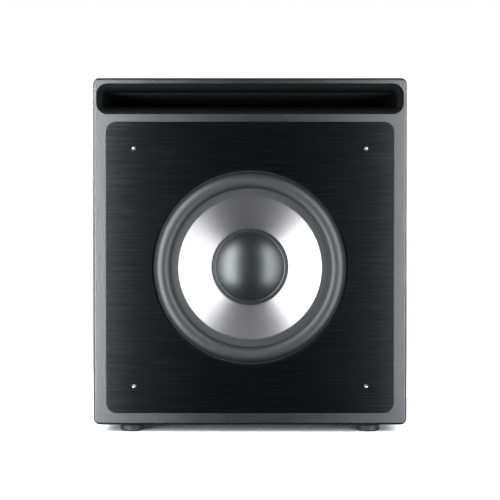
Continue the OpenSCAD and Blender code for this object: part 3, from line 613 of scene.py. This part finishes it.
def follow_cone(piece, centre, inner, outer):
    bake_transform(piece, "cabinet", "moving_cone", start=centre + Vector((outer, 0, 0)),
             end=centre + Vector((inner, 0, 0)))
    for vert, weight in zip(piece.data.vertices, piece.data.attributes["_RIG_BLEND"].data):
        away = math.hypot(vert.co.x - centre.x, vert.co.z - centre.z)
        share = min(1.0, max(0.0, (outer - away) / (outer - inner)))
        weight.value = share * share * (3 - 2 * share)


surround_rubber = finish("surround_rubber", (0.0065, 0.0074, 0.0076), (0.49, 0.56, 7, 4),
                         ((0.0085, 0.0096, 0.0099), 9, 4), bumps=[(0.5, 2, 0.015)],
                         Specular_IOR_Level=0.8, Specular_Tint=(0.93, 1.0, 1.02, 1))
# The clamped outer lip, deep in the plate's opening, is painted almost black and reflects less, as painted
# shade.
from_centre = wire(surround_rubber, "ShaderNodeVectorMath",
                   {0: coordinates(surround_rubber, (1, 0, 1), driver_centre)},
                   operation="LENGTH").outputs["Value"]
shaded_lip = spread(surround_rubber, from_centre, 0, 1, 139 * mm, 140.5 * mm)
tint(surround_rubber, shaded_lip, (0.001, 0.0011, 0.0012))
feed(surround_rubber, "Specular IOR Level", spread(surround_rubber, shaded_lip, 0.8, 0.2, 0, 1))
lip, foot_line, skin = -5.0, -6.5, 1.5
roll_in, roll_out = 115.0, 138.5
roll_middle, roll_radius = (roll_in + roll_out) / 2, (roll_out - roll_in) / 2
lip_angle = math.degrees(math.asin((lip - foot_line) / roll_radius))
surround = turned(
    [(105, foot_line), (105, lip)]
    + arc(roll_radius, 180 - lip_angle, lip_angle, (roll_middle, foot_line), 36)
    + [(146.6, lip), (146.6, foot_line)]
    + arc(roll_radius - skin, 0, 180, (roll_middle, foot_line), 36),
    driver_centre, steps=192)
creases = [e for e in edges_at(surround, 1, y_front - lip * mm)
           if all(abs(abs((v.co - driver_centre).xz.length / mm - roll_middle)
                      - roll_radius * math.cos(math.radians(lip_angle))) < 0.01
                  for v in e.verts)]
rounded(surround, creases, 0.7 * mm, 3)
rolled = piece_from(surround, "rolled_surround", None, "surround_rubber", surround_rubber,
                    "surround", sharp=40)
follow_cone(rolled, driver_centre, roll_in * mm, roll_out * mm)


# ---- Cone ---------------------------------------------------------------
# A spun aluminium cone, anodised and satin, with very fine turning marks round it. Its flat
# rim lies under the surround's lip and its neck is glued to the voice coil's former.
cone_finish = new_material("cone", (0.47, 0.46, 0.485), 0.40, 1.0, Anisotropic=0.62)
highlights_along(cone_finish, "turning")
turning_marks = speckle(cone_finish, 0.45 * mm, 3, stretch=(1, 0.004, 1), source="UV")
emboss(cone_finish, turning_marks, 0.008 * mm)
vary(cone_finish, turning_marks, 0.38, 0.44)
tint(cone_finish, spread(cone_finish, speckle(cone_finish, 30 * mm, 2), 0, 1),
     (0.445, 0.44, 0.465))
cone = turned([(104, -6.5), (115.4, -6.5), (115.4, -7.5), (104.4, -7.5), (38.22, -59.8),
               (38.22, -58.5)], driver_centre, steps=192)
spun_cone = piece_from(cone, "spun_cone", "moving_cone", "cone", cone_finish, "cone")
polar_map(spun_cone, driver_centre)


# ---- Dust cap -----------------------------------------------------------
# A pressed aluminium dome with a dark satin finish, glued to the cone by a flat rim, with a
# fine groove where the dome meets the rim.
cap_finish = finish("dust_cap", (0.0015, 0.0018, 0.0019), (0.36, 0.40, 5, 3),
                    ((0.0022, 0.0026, 0.0028), 8, 3), bumps=[(0.4, 2, 0.01)],
                    Specular_IOR_Level=0.85, Specular_Tint=(0.91, 1.0, 1.01, 1))
dome_radius, dome_height, cap_skin, cap_rim = 51.0, 19.0, 1.0, 56.0
ball = (dome_radius ** 2 + dome_height ** 2) / (2 * dome_height)
cap_seat = (y_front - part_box("dust_cap")[1].y) / mm
groove_at = math.degrees(math.asin((0.9 + ball - dome_height) / ball))
inside_at = math.degrees(math.asin((ball - dome_height) / (ball - cap_skin)))
cap_profile = (arc(ball, 90, groove_at, (0, dome_height - ball), 28)
               + [(50.7, 0.9), (51.9, 1.6), (55.7, 1.05), (cap_rim, 0.7), (cap_rim, 0)]
               + arc(ball - cap_skin, inside_at, 90, (0, dome_height - ball), 28))
cap = turned([(r, h + cap_seat) for r, h in cap_profile], driver_centre, steps=144,
             closed=False)
piece_from(cap, "pressed_dust_cap", "moving_cone", "dust_cap", cap_finish, "dust_cap",
           sharp=26)


# ---- Spider, coil and former --------------------------------------------
# Behind the cone, a copper coil on a polyimide former hangs in a corrugated disc of varnished
# cotton, which is glued to the basket outside and to the former inside.
def stripes(material, scale, direction):
    return wire(material, "ShaderNodeTexWave",
                {"Vector": coordinates(material), "Scale": scale},
                bands_direction=direction).outputs[1]


spider_cloth = new_material("spider_cloth", (0.52, 0.34, 0.11), 0.75)
weave = wire(spider_cloth, "ShaderNodeMath",
             {0: stripes(spider_cloth, 300, "X"), 1: stripes(spider_cloth, 300, "Z")},
             operation="MULTIPLY").outputs[0]
emboss(spider_cloth, weave, 0.15 * mm)
tint(spider_cloth, spread(spider_cloth, weave, 0, 1, 0.0, 0.8), (0.38, 0.23, 0.07))
vary(spider_cloth, speckle(spider_cloth, 6 * mm), 0.68, 0.82)
spider_seat, spider_wave = -77.0, 2.6
wave_steps = [38.3 + n * (94 - 38.3) / 96 for n in range(97)]
spider_top = [(r, spider_seat + (spider_wave * math.sin(math.tau * (r - 46.2) / 11)
                                 if 46.2 < r < 84.7 else 0)) for r in wave_steps]
spider = turned(spider_top + [(r, h - 0.9) for r, h in reversed(spider_top)],
                driver_centre, steps=120)
corrugated = piece_from(spider, "corrugated_spider", None, "spider_cloth", spider_cloth,
                        "spider", sharp=60)
follow_cone(corrugated, driver_centre, 44 * mm, 88 * mm)

former = new_material("former", (0.50, 0.36, 0.19), 0.6)
tint(former, spread(former, speckle(former, 3 * mm, 5, stretch=(1, 0.2, 1)), 0, 1),
     (0.40, 0.27, 0.13))
vary(former, speckle(former, 2 * mm, 4), 0.5, 0.7)
emboss(former, speckle(former, 0.4 * mm, 3), 0.02 * mm)
dress(former, "voice_coil_former")
coil_wire = new_material("coil_wire", (0.72, 0.30, 0.11), 0.3, 0.9, Coat_Weight=0.5)
turns = stripes(coil_wire, 800, "Y")
emboss(coil_wire, turns, 0.15 * mm)
# The grooves between the turns are tinted darker, as painted shade.
tint(coil_wire, spread(coil_wire, turns, 0.6, 0, 0.0, 0.4), (0.35, 0.12, 0.04))
vary(coil_wire, speckle(coil_wire, 2 * mm), 0.25, 0.4)
dress(coil_wire, "voice_coil")


# ---- Basket and motor ---------------------------------------------------
# A cast basket with six windows carries the motor: zinc-plated steel plates round two
# ferrite rings, under a rubber boot, all held by screws. A gasket seals it to the baffle.
basket = finish("basket", (0.030, 0.031, 0.033), (0.46, 0.64, 3, 4), None,
                ((0.12, 0.12, 0.12), 0.6), [(1.0, 3, 0.12)], 0.2)
dress(basket, "driver_basket")
motor_steel = finish("motor_steel", (0.60, 0.60, 0.57), (0.30, 0.48, 4, 4),
                     bumps=[(0.6, 2, 0.02)], metallic=1.0)
tint(motor_steel, spread(motor_steel, speckle(motor_steel, 18 * mm, 4), 0, 1, 0.4, 0.7),
     (0.66, 0.62, 0.50))
dress(motor_steel, "magnet_top_plate", "magnet_back_plate")
ferrite = finish("ferrite", (0.045, 0.045, 0.048), (0.6, 0.8, 8, 2),
                 ((0.070, 0.070, 0.074), 1.5, 4), bumps=[(0.8, 4, 0.08)])
dress(ferrite, "magnet_rings")
dress(rubber, "driver_gasket", "magnet_boot", "amp_gasket")

black_plastic = finish("black_plastic", (0.022, 0.022, 0.023), (0.40, 0.54, 2, 3),
                       ((0.030, 0.030, 0.031), 3, 3), ((0.065, 0.065, 0.066), 0.25),
                       [(0.5, 2, 0.03)])
dress(black_plastic, "terminal_block")
gold_contact = finish("gold_contact", (0.83, 0.60, 0.22), (0.18, 0.35, 1, 3), None,
                      ((0.95, 0.78, 0.42), 0.2), [(0.4, 2, 0.01)], 1.0)
dress(gold_contact, "terminal_tabs")


# ---- Leads inside the cabinet -------------------------------------------
# A red and a black insulated lead run from the amplifier to the driver's terminals, and two
# braided tinsel leads go on from there to the voice coil, and bend as the cone travels.
def lead_finish(name, colour, deep, metallic=0.0):
    return finish(name, colour, (0.35, 0.55, 2, 3), (deep, 7, 3), bumps=[(0.6, 2, 0.02)],
                  metallic=metallic)


dress(lead_finish("red_wire", (0.45, 0.02, 0.015), (0.34, 0.012, 0.010)), "red_speaker_lead")
dress(lead_finish("black_wire", (0.02, 0.02, 0.02), (0.032, 0.032, 0.032)),
      "black_speaker_lead")
copper_braid = lead_finish("copper_braid", (0.75, 0.42, 0.22), (0.55, 0.27, 0.12), 0.9)
emboss(copper_braid, stripes(copper_braid, 500, "DIAGONAL"), 0.15 * mm)
braids = bmesh.new()
braids.from_mesh(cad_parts["tinsel_leads"].data)
braided_leads = piece_from(braids, "braided_leads", None, "copper_braid", copper_braid,
                           "tinsel_leads", sharp=60)
follow_cone(braided_leads, driver_centre, 45 * mm, 100 * mm)


# ---- Amplifier plate ----------------------------------------------------
# A 3 mm aluminium plate, bead-blasted and anodised dark, is screwed over a gasket on the
# rear. The dials' ticks and numbers are screen-printed on it in pale ink.
y_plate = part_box("amp_plate")[1].y
amp_metal = finish("amp_metal", (0.040, 0.041, 0.044), (0.42, 0.56, 1.0, 3),
                   ((0.050, 0.052, 0.055), 25, 3), ((0.20, 0.20, 0.21), 0.35),
                   [(0.6, 3, 0.05)], 0.4)
level_at, crossover_at = (102 * mm, amp_z + 118 * mm), (48 * mm, amp_z + 118 * mm)
phase_at, mode_at = (102 * mm, amp_z + 62 * mm), (48 * mm, amp_z + 62 * mm)
lamp_at = (mode_at[0], mode_at[1] + 18 * mm)
jacks_at = [(64 * mm, amp_z + 4 * mm), (86 * mm, amp_z + 4 * mm)]
rocker_at, inlet_at = (98 * mm, amp_z - 112 * mm), (48 * mm, amp_z - 112 * mm)


def block_at(at, half_width, back, front, low, high):
    """A block about a point on the plate, in mm. back and front are from the plate's face."""
    return block((at[0] - half_width * mm, y_plate + back * mm, at[1] + low * mm),
                 (at[0] + half_width * mm, y_plate + front * mm, at[1] + high * mm))


amp_plate = rounded_block(280 * mm, 330 * mm, y_plate - 3 * mm, y_plate, 8 * mm, z=amp_z)
rounded(amp_plate, edges_at(amp_plate, 1, y_plate), 0.5 * mm, 3)
amp_plate = carve(
    amp_plate,
    *[drum(r * mm, y_plate - 0.02, y_plate + 0.02, *at, segments=48)
      for r, at in ((4.7, level_at), (4.7, crossover_at), (4.7, phase_at), (2.7, lamp_at),
                    (6.2, jacks_at[0]), (6.2, jacks_at[1]))],
    block_at(mode_at, 7, -40, 40, -3, 3), block_at(rocker_at, 11.2, -40, 40, -15.2, 15.2),
    block_at(inlet_at, 17.2, -40, 40, -18.2, 18.2))
piece_from(amp_plate, "anodised_amp_plate", "cabinet", "amp_metal", amp_metal, "amp_plate")

ink = finish("ink", (0.62, 0.63, 0.63), (0.5, 0.7, 0.8, 3), ((0.52, 0.53, 0.53), 1.0, 4),
             bumps=[(0.5, 2, 0.01)])
ink_depth = 0.06 * mm
dial_sweep, dial_radius = 300, 13.6 * mm


def facing_rear(at):
    """Turns flat work in X and Y to stand on the amplifier plate and read from behind."""
    return (Matrix.Translation((at[0], y_plate, at[1]))
            @ Matrix(((-1, 0, 0, 0), (0, 0, 1, 0), (0, 1, 0, 0), (0, 0, 0, 1))))


def print_number(bm, words, size, at):
    curve = bpy.data.curves.new("numeral", "FONT")
    curve.body, curve.size, curve.extrude = words, size, ink_depth / 2
    curve.align_x = curve.align_y = "CENTER"
    curve.resolution_u = 3
    shown = bpy.data.objects.new("numeral", curve)
    bpy.context.scene.collection.objects.link(shown)
    bpy.context.view_layer.update()
    mesh = bpy.data.meshes.new_from_object(
        shown.evaluated_get(bpy.context.evaluated_depsgraph_get()))
    bpy.data.objects.remove(shown)
    mesh.transform(facing_rear(at) @ Matrix.Translation((0, 0, ink_depth / 2)))
    bm.from_mesh(mesh)


prints = bmesh.new()
for at, numbers in ((level_at, ("0", "5", "10")), (crossover_at, ("40", "80", "160")),
                    (phase_at, ("0", "90", "180"))):
    for tick in range(11):
        turn = math.radians(dial_sweep * (tick / 10 - 0.5))
        long_tick = tick in (0, 5, 10)
        mark = bmesh.ops.create_cube(prints, size=1)["verts"]
        bmesh.ops.scale(prints, verts=mark,
                        vec=(0.35 * mm, (2.2 if long_tick else 1.4) * mm, ink_depth))
        bmesh.ops.translate(prints, verts=mark, vec=(0, dial_radius, ink_depth / 2))
        bmesh.ops.rotate(prints, verts=mark, cent=(0, 0, 0),
                         matrix=Matrix.Rotation(-turn, 3, "Z"))
        bmesh.ops.transform(prints, verts=mark, matrix=facing_rear(at))
    for share, words in zip((-0.5, 0.0, 0.5), numbers):
        turn = math.radians(dial_sweep * share)
        reach = dial_radius + 4.2 * mm
        print_number(prints, words, 4.2 * mm,
                     (at[0] - reach * math.sin(turn), at[1] + reach * math.cos(turn)))
piece_from(prints, "dial_prints", "cabinet", "amp_metal", ink)


# ---- Heat sink ----------------------------------------------------------
# An extruded aluminium heat sink of thirteen fins, anodised black, is screwed to the plate
# from behind. The fins' tips are slightly rounded by the die.
sink_low, sink_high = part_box("heat_sink")
fins, fin_thick, sink_base = 13, 2 * mm, 4 * mm
fin_pitch = (sink_high.x - sink_low.x - fin_thick) / (fins - 1)
sink = block(sink_low, (sink_high.x, y_plate + sink_base, sink_high.z))
for fin in range(fins):
    for edge_x in (sink_low.x + fin * fin_pitch, sink_low.x + fin * fin_pitch + fin_thick):
        if sink_low.x + 1e-6 < edge_x < sink_high.x - 1e-6:
            bmesh.ops.bisect_plane(sink, geom=sink.verts[:] + sink.edges[:] + sink.faces[:],
                                   plane_co=(edge_x, 0, 0), plane_no=(1, 0, 0))


def under_fin(face):
    fin_number = (face.calc_center_median().x - sink_low.x - fin_thick / 2) / fin_pitch
    return face.normal.y > 0.9 and abs(fin_number - round(fin_number)) < 0.1


fin_roots = [f for f in sink.faces if under_fin(f)]
risen = bmesh.ops.extrude_discrete_faces(sink, faces=fin_roots)["faces"]
bmesh.ops.translate(sink, vec=(0, sink_high.y - y_plate - sink_base, 0),
                    verts=list({v for f in risen for v in f.verts}))
rounded(sink, edges_at(sink, 1, sink_high.y), 0.6 * mm, 3)
sink_finish = new_material("sink_finish", (0.022, 0.023, 0.025), 0.42, 0.5)
vary(sink_finish, speckle(sink_finish, 1.2 * mm, 3, stretch=(1, 1, 0.03)), 0.34, 0.50)
emboss(sink_finish, speckle(sink_finish, 0.5 * mm, 3, stretch=(1, 1, 0.02)), 0.04 * mm)
tint(sink_finish, edges_of(sink_finish, 0.3 * mm), (0.15, 0.15, 0.16))
piece_from(sink, "extruded_heat_sink", "cabinet", "amp_metal", sink_finish, "heat_sink")


# ---- Amplifier screws ---------------------------------------------------
# Black hexagon-socket screws hold the plate to the rear board, and four small ones hold the
# mains inlet and the mode switch.
def add_to(bm, other):
    """Moves all of other into bm."""
    mesh = bpy.data.meshes.new("shape")
    other.to_mesh(mesh)
    other.free()
    bm.from_mesh(mesh)
    return bm


plate_screws = [(x * 128 * mm, amp_z + z * 155 * mm) for x in (-1, 0, 1) for z in (-1, 1)]
plate_screws += [(x * 128 * mm, amp_z + z * 52 * mm) for x in (-1, 1) for z in (-1, 1)]
heads, sockets = bmesh.new(), bmesh.new()


def screw(at, head, shank, seat, rise, socket):
    """A round head with a hexagon socket, and its shank going in; sizes in mm."""
    turned([(0, seat - 6), (shank, seat - 6), (shank, seat), (head, seat),
            (head, seat + 0.35 * rise), (0.93 * head, seat + 0.75 * rise),
            (0.72 * head, seat + rise), (0, seat + rise)],
           (at[0], y_plate, at[1]), (0, 1, 0), 40, heads, closed=False)
    add_to(sockets, drum(socket * mm, y_plate + (seat + 0.4 * rise) * mm,
                         y_plate + (seat + rise + 1) * mm, *at, 6))


for at in plate_screws:
    screw(at, 4.4, 2.0, 0, 2.2, 1.7)
for side in (-1, 1):
    screw((inlet_at[0] + side * 21 * mm, inlet_at[1]), 3.0, 1.5, 2.5, 1.4, 1.1)
    screw((mode_at[0] + side * 11 * mm, mode_at[1]), 2.2, 1.1, 1.0, 1.4, 0.85)
piece_from(carve(heads, sockets), "socket_screws", "cabinet", "screw_black", screw_black,
           "amp_screws")


# ---- Electronics in the amplifier ---------------------------------------
# Inside the zinc-plated cover are the green circuit board, its sleeved capacitors, and a
# ring transformer wrapped in tape and clamped by a steel disc.
def plain_finish(name, colour, second, patch, rough, depth, nodes, metallic=0.0):
    """A finish of two tones with patches of that size, in mm, on CAD nodes."""
    material = finish(name, colour, (rough * 0.85, rough * 1.15, patch, 2),
                      (second, patch, 4), bumps=[(patch / 4, 3, depth)], metallic=metallic)
    dress(material, *nodes)
    return material


plain_finish("zinc_sheet", (0.56, 0.57, 0.58), (0.68, 0.69, 0.70), 14, 0.35, 0.03,
             ["amp_cover", "transformer_clamp"], 1.0)
plain_finish("board", (0.015, 0.14, 0.05), (0.02, 0.20, 0.07), 2.5, 0.4, 0.05,
             ["circuit_board"])
plain_finish("capacitor", (0.03, 0.035, 0.12), (0.045, 0.05, 0.16), 4, 0.35, 0.02,
             ["filter_capacitors"])
plain_finish("transformer", (0.75, 0.38, 0.06), (0.60, 0.28, 0.04), 6, 0.4, 0.25,
             ["toroidal_transformer"])


# ---- Controls -----------------------------------------------------------
# Three fluted knobs of black plastic are pushed on to the steel shafts of the controls. A
# white line inlaid in each face shows where it points.
nickel = plain_finish("nickel", (0.66, 0.65, 0.62), (0.76, 0.75, 0.71), 2, 0.28, 0.01,
                      ["control_pots", "pot_nuts", "level_shaft", "crossover_shaft",
                       "phase_shaft"], 1.0)
knob_finish = finish("knob", (0.016, 0.016, 0.017), (0.36, 0.50, 1.5, 3), None,
                     ((0.055, 0.055, 0.056), 0.3), [(0.4, 2, 0.02)])
knob_flutes = 20
for control, at in (("level", level_at), ("crossover", crossover_at), ("phase", phase_at)):
    centre = (at[0], y_plate, at[1])
    knob = turned([(0, 2.8), (10.7, 2.8), (11, 3.1), (11, 13.8), (10.7, 14.3), (9.8, 15),
                   (8.2, 15), (7.6, 14.6), (0, 14.6)], centre, (0, 1, 0), 120, closed=False)
    flutes = bmesh.new()
    for n in range(1, knob_flutes):
        turn = math.radians(90 + 360 * n / knob_flutes)
        flute = bmesh.ops.create_cone(flutes, cap_ends=True, segments=16, radius1=1.3 * mm,
                                      radius2=1.3 * mm, depth=15 * mm)["verts"]
        bmesh.ops.rotate(flutes, verts=flute, cent=(0, 0, 0),
                         matrix=Matrix.Rotation(math.radians(90), 3, "X"))
        bmesh.ops.translate(flutes, verts=flute,
                            vec=(at[0] + 11.7 * mm * math.cos(turn), y_plate + 12 * mm,
                                 at[1] + 11.7 * mm * math.sin(turn)))
    hollow = turned([(0, 1), (7.6, 1), (7.6, 5.7), (3.02, 5.7), (3.02, 12), (0, 12)],
                    centre, (0, 1, 0), 48, closed=False)
    knob = carve(knob, flutes, hollow, block_at(at, 0.6, 14, 17, 3.5, 12))
    piece_from(knob, control + "_fluted_knob", control + "_control", "knob", knob_finish,
               control + "_knob")
    line = block_at(at, 0.58, 13.9, 14.35, 3.6, 10.4)
    rounded(line, line.edges[:], 0.1 * mm, 2)
    piece_from(line, control + "_pointer", control + "_control", "knob", ink)


# ---- Line input jacks ---------------------------------------------------
# Two gold-lined phono jacks with nickelled shells, one with a red and one with a black
# insulator, pressed through the plate.
shells, red_core, black_core = bmesh.new(), bmesh.new(), bmesh.new()
for at, core in zip(jacks_at, (red_core, black_core)):
    centre = (at[0], y_plate, at[1])
    turned([(3.4, 0.02), (6.9, 0.02), (6.9, 1.5), (6.6, 1.95), (4.9, 1.95), (4.6, 2.3),
            (4.15, 2.6), (4.15, 10.6), (3.9, 11), (3.6, 11), (3.4, 10.7)],
           centre, (0, 1, 0), 64, shells)
    turned([(0, -12), (6.1, -12), (6.1, 0), (3.35, 0), (3.35, 9.2), (3.1, 9.5), (2.0, 9.5),
            (1.6, 9.1), (1.6, 1), (0, 1)], centre, (0, 1, 0), 48, core, closed=False)
piece_from(shells, "jack_shells", "cabinet", "nickel", nickel, "line_in_shells")
for name, core, colour, second in (
        ("red_insulator", red_core, (0.50, 0.02, 0.02), (0.42, 0.015, 0.015)),
        ("black_insulator", black_core, (0.02, 0.02, 0.021), (0.035, 0.035, 0.036))):
    plastic = plain_finish(name, colour, second, 3, 0.4, 0.01, [])
    piece_from(core, name, "cabinet", "red_plastic", plastic, "line_in_insulators")


# ---- Mains inlet and fuse drawer ----------------------------------------
# A black moulded appliance inlet with three blades, and a drawer above its socket that
# holds a glass fuse and pulls straight out by a finger notch.
inlet = rounded_block(50 * mm, 40 * mm, y_plate, y_plate + 2.5 * mm, 3 * mm,
                      *inlet_at, segments=6)
rounded(inlet, edges_at(inlet, 1, y_plate + 2.5 * mm), 0.5 * mm, 3)
inlet_body = block_at(inlet_at, 17, -26, 0.2, -18, 18)


def inlet_openings():
    """The socket's cavity, with two cut corners, and the fuse drawer's slot."""
    cavity = block_at(inlet_at, 12.2, -16.5, 8, -15.5, 1.2)
    rounded(cavity, edges_along(cavity, 1, lambda m: m.z > inlet_at[1]), 4 * mm, 1)
    rounded(cavity, edges_along(cavity, 1, lambda m: m.z < inlet_at[1] - 10 * mm), 1 * mm, 3)
    return add_to(cavity, block_at(inlet_at, 11.2, -22.4, 8, 5.8, 14.2))


screw_holes = [drum(1.7 * mm, y_plate - 1 * mm, y_plate + 4 * mm,
                    inlet_at[0] + s * 21 * mm, inlet_at[1], 24) for s in (-1, 1)]
piece_from(carve(inlet, inlet_openings(), *screw_holes), "inlet_flange", "cabinet",
           "black_plastic", black_plastic, "mains_inlet")
inlet_body = carve(inlet_body, inlet_openings())
bmesh.ops.translate(inlet_body, vec=(0, -0.2 * mm, 0), verts=inlet_body.verts)
piece_from(inlet_body, "inlet_body", "cabinet", "black_plastic", black_plastic,
           "mains_inlet")

blades = bmesh.new()
for x, z in ((-7, -9), (7, -9), (0, -5.5)):
    blade = bmesh.ops.create_cube(blades, size=1)["verts"]
    bmesh.ops.scale(blades, vec=(2 * mm, 12.5 * mm, 4 * mm), verts=blade)
    bmesh.ops.translate(blades, verts=blade, vec=(inlet_at[0] + x * mm,
                                                  y_plate - 10.25 * mm, inlet_at[1] + z * mm))
rounded(blades, edges_at(blades, 1, y_plate - 4 * mm), 0.5 * mm, 3)
piece_from(blades, "inlet_blades", "cabinet", "nickel", nickel, "mains_pins")

drawer_low, drawer_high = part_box("fuse_drawer")
drawer = block(drawer_low, drawer_high)
rounded(drawer, edges_at(drawer, 1, drawer_high.y), 0.6 * mm, 3)
drawer = carve(drawer, block_at(inlet_at, 10.2, -12.6, -7.2, 7.4, 20),
               block_at(inlet_at, 5, 3, 4.8, 5, 6.8))
piece_from(drawer, "fuse_tray", "fuse_holder", "black_plastic", black_plastic,
           "fuse_drawer")
fuse_glass = new_material("fuse_glass", (0.80, 0.85, 0.86), 0.12)
end_cap = wire(fuse_glass, "ShaderNodeSeparateXYZ",
               {0: coordinates(fuse_glass, centre=(inlet_at[0], 0, 0))}).outputs[0]
end_cap = wire(fuse_glass, "ShaderNodeMath", {0: end_cap}, operation="ABSOLUTE").outputs[0]
tint(fuse_glass, spread(fuse_glass, end_cap, 0, 1, 0.0058, 0.006), (0.70, 0.68, 0.60))
vary(fuse_glass, speckle(fuse_glass, 1 * mm), 0.10, 0.22)
dress(fuse_glass, "fuse")


# ---- Power rocker -------------------------------------------------------
# A two-position rocker in a snap-in frame. Its face is a shallow V over the pivot, with a
# bar moulded for on and a ring for off.
switch_frame = rounded_block(25 * mm, 33 * mm, y_plate, y_plate + 2 * mm, 2.5 * mm,
                             *rocker_at, segments=6)
rounded(switch_frame, edges_at(switch_frame, 1, y_plate + 2 * mm), 0.6 * mm, 3)
switch_frame = carve(switch_frame, block_at(rocker_at, 7.5, -40, 40, -12.2, 12.2))
piece_from(switch_frame, "rocker_bezel", "cabinet", "black_plastic", black_plastic,
           "power_switch_frame")
switch_body = carve(block_at(rocker_at, 11, -20, 0, -15, 15),
                    block_at(rocker_at, 7.5, -12, 40, -12.2, 12.2),
                    block_at(rocker_at, 9, -3.6, -0.4, -1.6, 1.6))
piece_from(switch_body, "rocker_housing", "cabinet", "black_plastic", black_plastic,
           "power_switch_frame")

rocker_finish = finish("rocker", (0.025, 0.022, 0.022), (0.28, 0.42, 2, 3), None,
                       ((0.07, 0.065, 0.065), 0.3), [(0.5, 2, 0.01)])
pivot = Vector((rocker_at[0], y_plate - 2 * mm, rocker_at[1]))
rest_tilt = Matrix.Rotation(math.radians(-12), 3, "X")
outline = ((4.4, 0), (6.6, 9.6), (4.8, 10.6), (-5, 4), (-5, -4), (4.8, -10.6), (6.6, -9.6))
rocker = bmesh.new()
cheek = rocker.faces.new([rocker.verts.new(pivot + Vector((-7.2, out, up)) * mm)
                          for out, up in outline])
grown = bmesh.ops.extrude_face_region(rocker, geom=[cheek], use_keep_orig=True)["geom"]
bmesh.ops.translate(rocker, vec=(14.4 * mm, 0, 0),
                    verts=[g for g in grown if isinstance(g, bmesh.types.BMVert)])
rounded(rocker, rocker.edges[:], 0.35 * mm, 2)
axle = bmesh.ops.create_cone(rocker, cap_ends=True, segments=24, radius1=1.5 * mm,
                             radius2=1.5 * mm, depth=17.4 * mm)["verts"]
bmesh.ops.rotate(rocker, verts=axle, cent=(0, 0, 0),
                 matrix=Matrix.Rotation(math.radians(90), 3, "Y"))
bmesh.ops.translate(rocker, verts=axle, vec=pivot)
bmesh.ops.rotate(rocker, cent=pivot, matrix=rest_tilt, verts=rocker.verts)
piece_from(rocker, "tilting_rocker", "power_switch", "rocker", rocker_finish,
           "power_rocker")

face_slope = math.atan2(2.2, 9.6)
marks = bmesh.new()
bar = bmesh.ops.create_cube(marks, size=1)["verts"]
bmesh.ops.scale(marks, vec=(0.7 * mm, 0.12 * mm, 3.4 * mm), verts=bar)
add_to(marks, turned([(1.3, -0.06), (1.85, -0.06), (1.85, 0.06), (1.3, 0.06)], (0, 0, 0),
                     (0, 1, 0), 32))
circle = [v for v in marks.verts if v not in bar]
for verts, up in ((bar, 1), (circle, -1)):
    bmesh.ops.rotate(marks, verts=verts, cent=(0, 0, 0),
                     matrix=Matrix.Rotation(-up * face_slope, 3, "X"))
    bmesh.ops.translate(marks, verts=verts,
                        vec=pivot + Vector((0, 4.4 + 2.2 * 5.6 / 9.6, up * 5.6)) * mm)
bmesh.ops.rotate(marks, cent=pivot, matrix=rest_tilt, verts=marks.verts)
piece_from(marks, "rocker_marks", "power_switch", "rocker", ink)


# ---- Mode switch and lamp -----------------------------------------------
# A small slide switch with a ribbed black slider in a nickelled frame, and over it a green
# lamp with a domed lens.
mode_frame = block_at(mode_at, 14, 0, 1, -5, 5)
rounded(mode_frame, edges_along(mode_frame, 1), 1.5 * mm, 4)
mode_frame = carve(mode_frame, block_at(mode_at, 5.6, -40, 40, -1.8, 1.8))
piece_from(mode_frame, "slide_frame", "cabinet", "nickel", nickel, "mode_switch_frame")
mode_body = carve(block_at(mode_at, 6.8, -11, 0, -2.8, 2.8),
                  block_at(mode_at, 5.6, -6, 5, -1.8, 1.8))
piece_from(mode_body, "slide_housing", "cabinet", "nickel", nickel, "mode_switch_frame")
slider_low, slider_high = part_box("mode_slider")
slider = block(slider_low, slider_high)
rounded(slider, edges_at(slider, 1, slider_high.y), 0.3 * mm, 2)
slider = carve(slider, *[block((slider_low.x + rib * mm, slider_high.y - 0.7 * mm,
                                slider_low.z - 1 * mm),
                               (slider_low.x + (rib + 0.5) * mm, slider_high.y + 1 * mm,
                                slider_high.z + 1 * mm)) for rib in (0.9, 2.15, 3.4)])
piece_from(slider, "ribbed_slider", "mode_switch", "black_plastic", black_plastic,
           "mode_slider")

lamp_lens = finish("lamp", (0.06, 0.42, 0.10), (0.14, 0.26, 1.0, 2),
                   ((0.05, 0.36, 0.08), 1.5, 3), bumps=[(0.4, 2, 0.005)],
                   Transmission_Weight=0.25, Emission_Color=(0.1, 0.9, 0.2, 1),
                   Emission_Strength=0.35)
lens = turned([(0, -12), (2.5, -12), (2.5, 1)] + arc(2.5, 8, 90, (0, 1), 8),
              (lamp_at[0], y_plate, lamp_at[1]), (0, 1, 0), 40, closed=False)
piece_from(lens, "domed_lamp", "cabinet", "lamp", lamp_lens, "status_lamp")
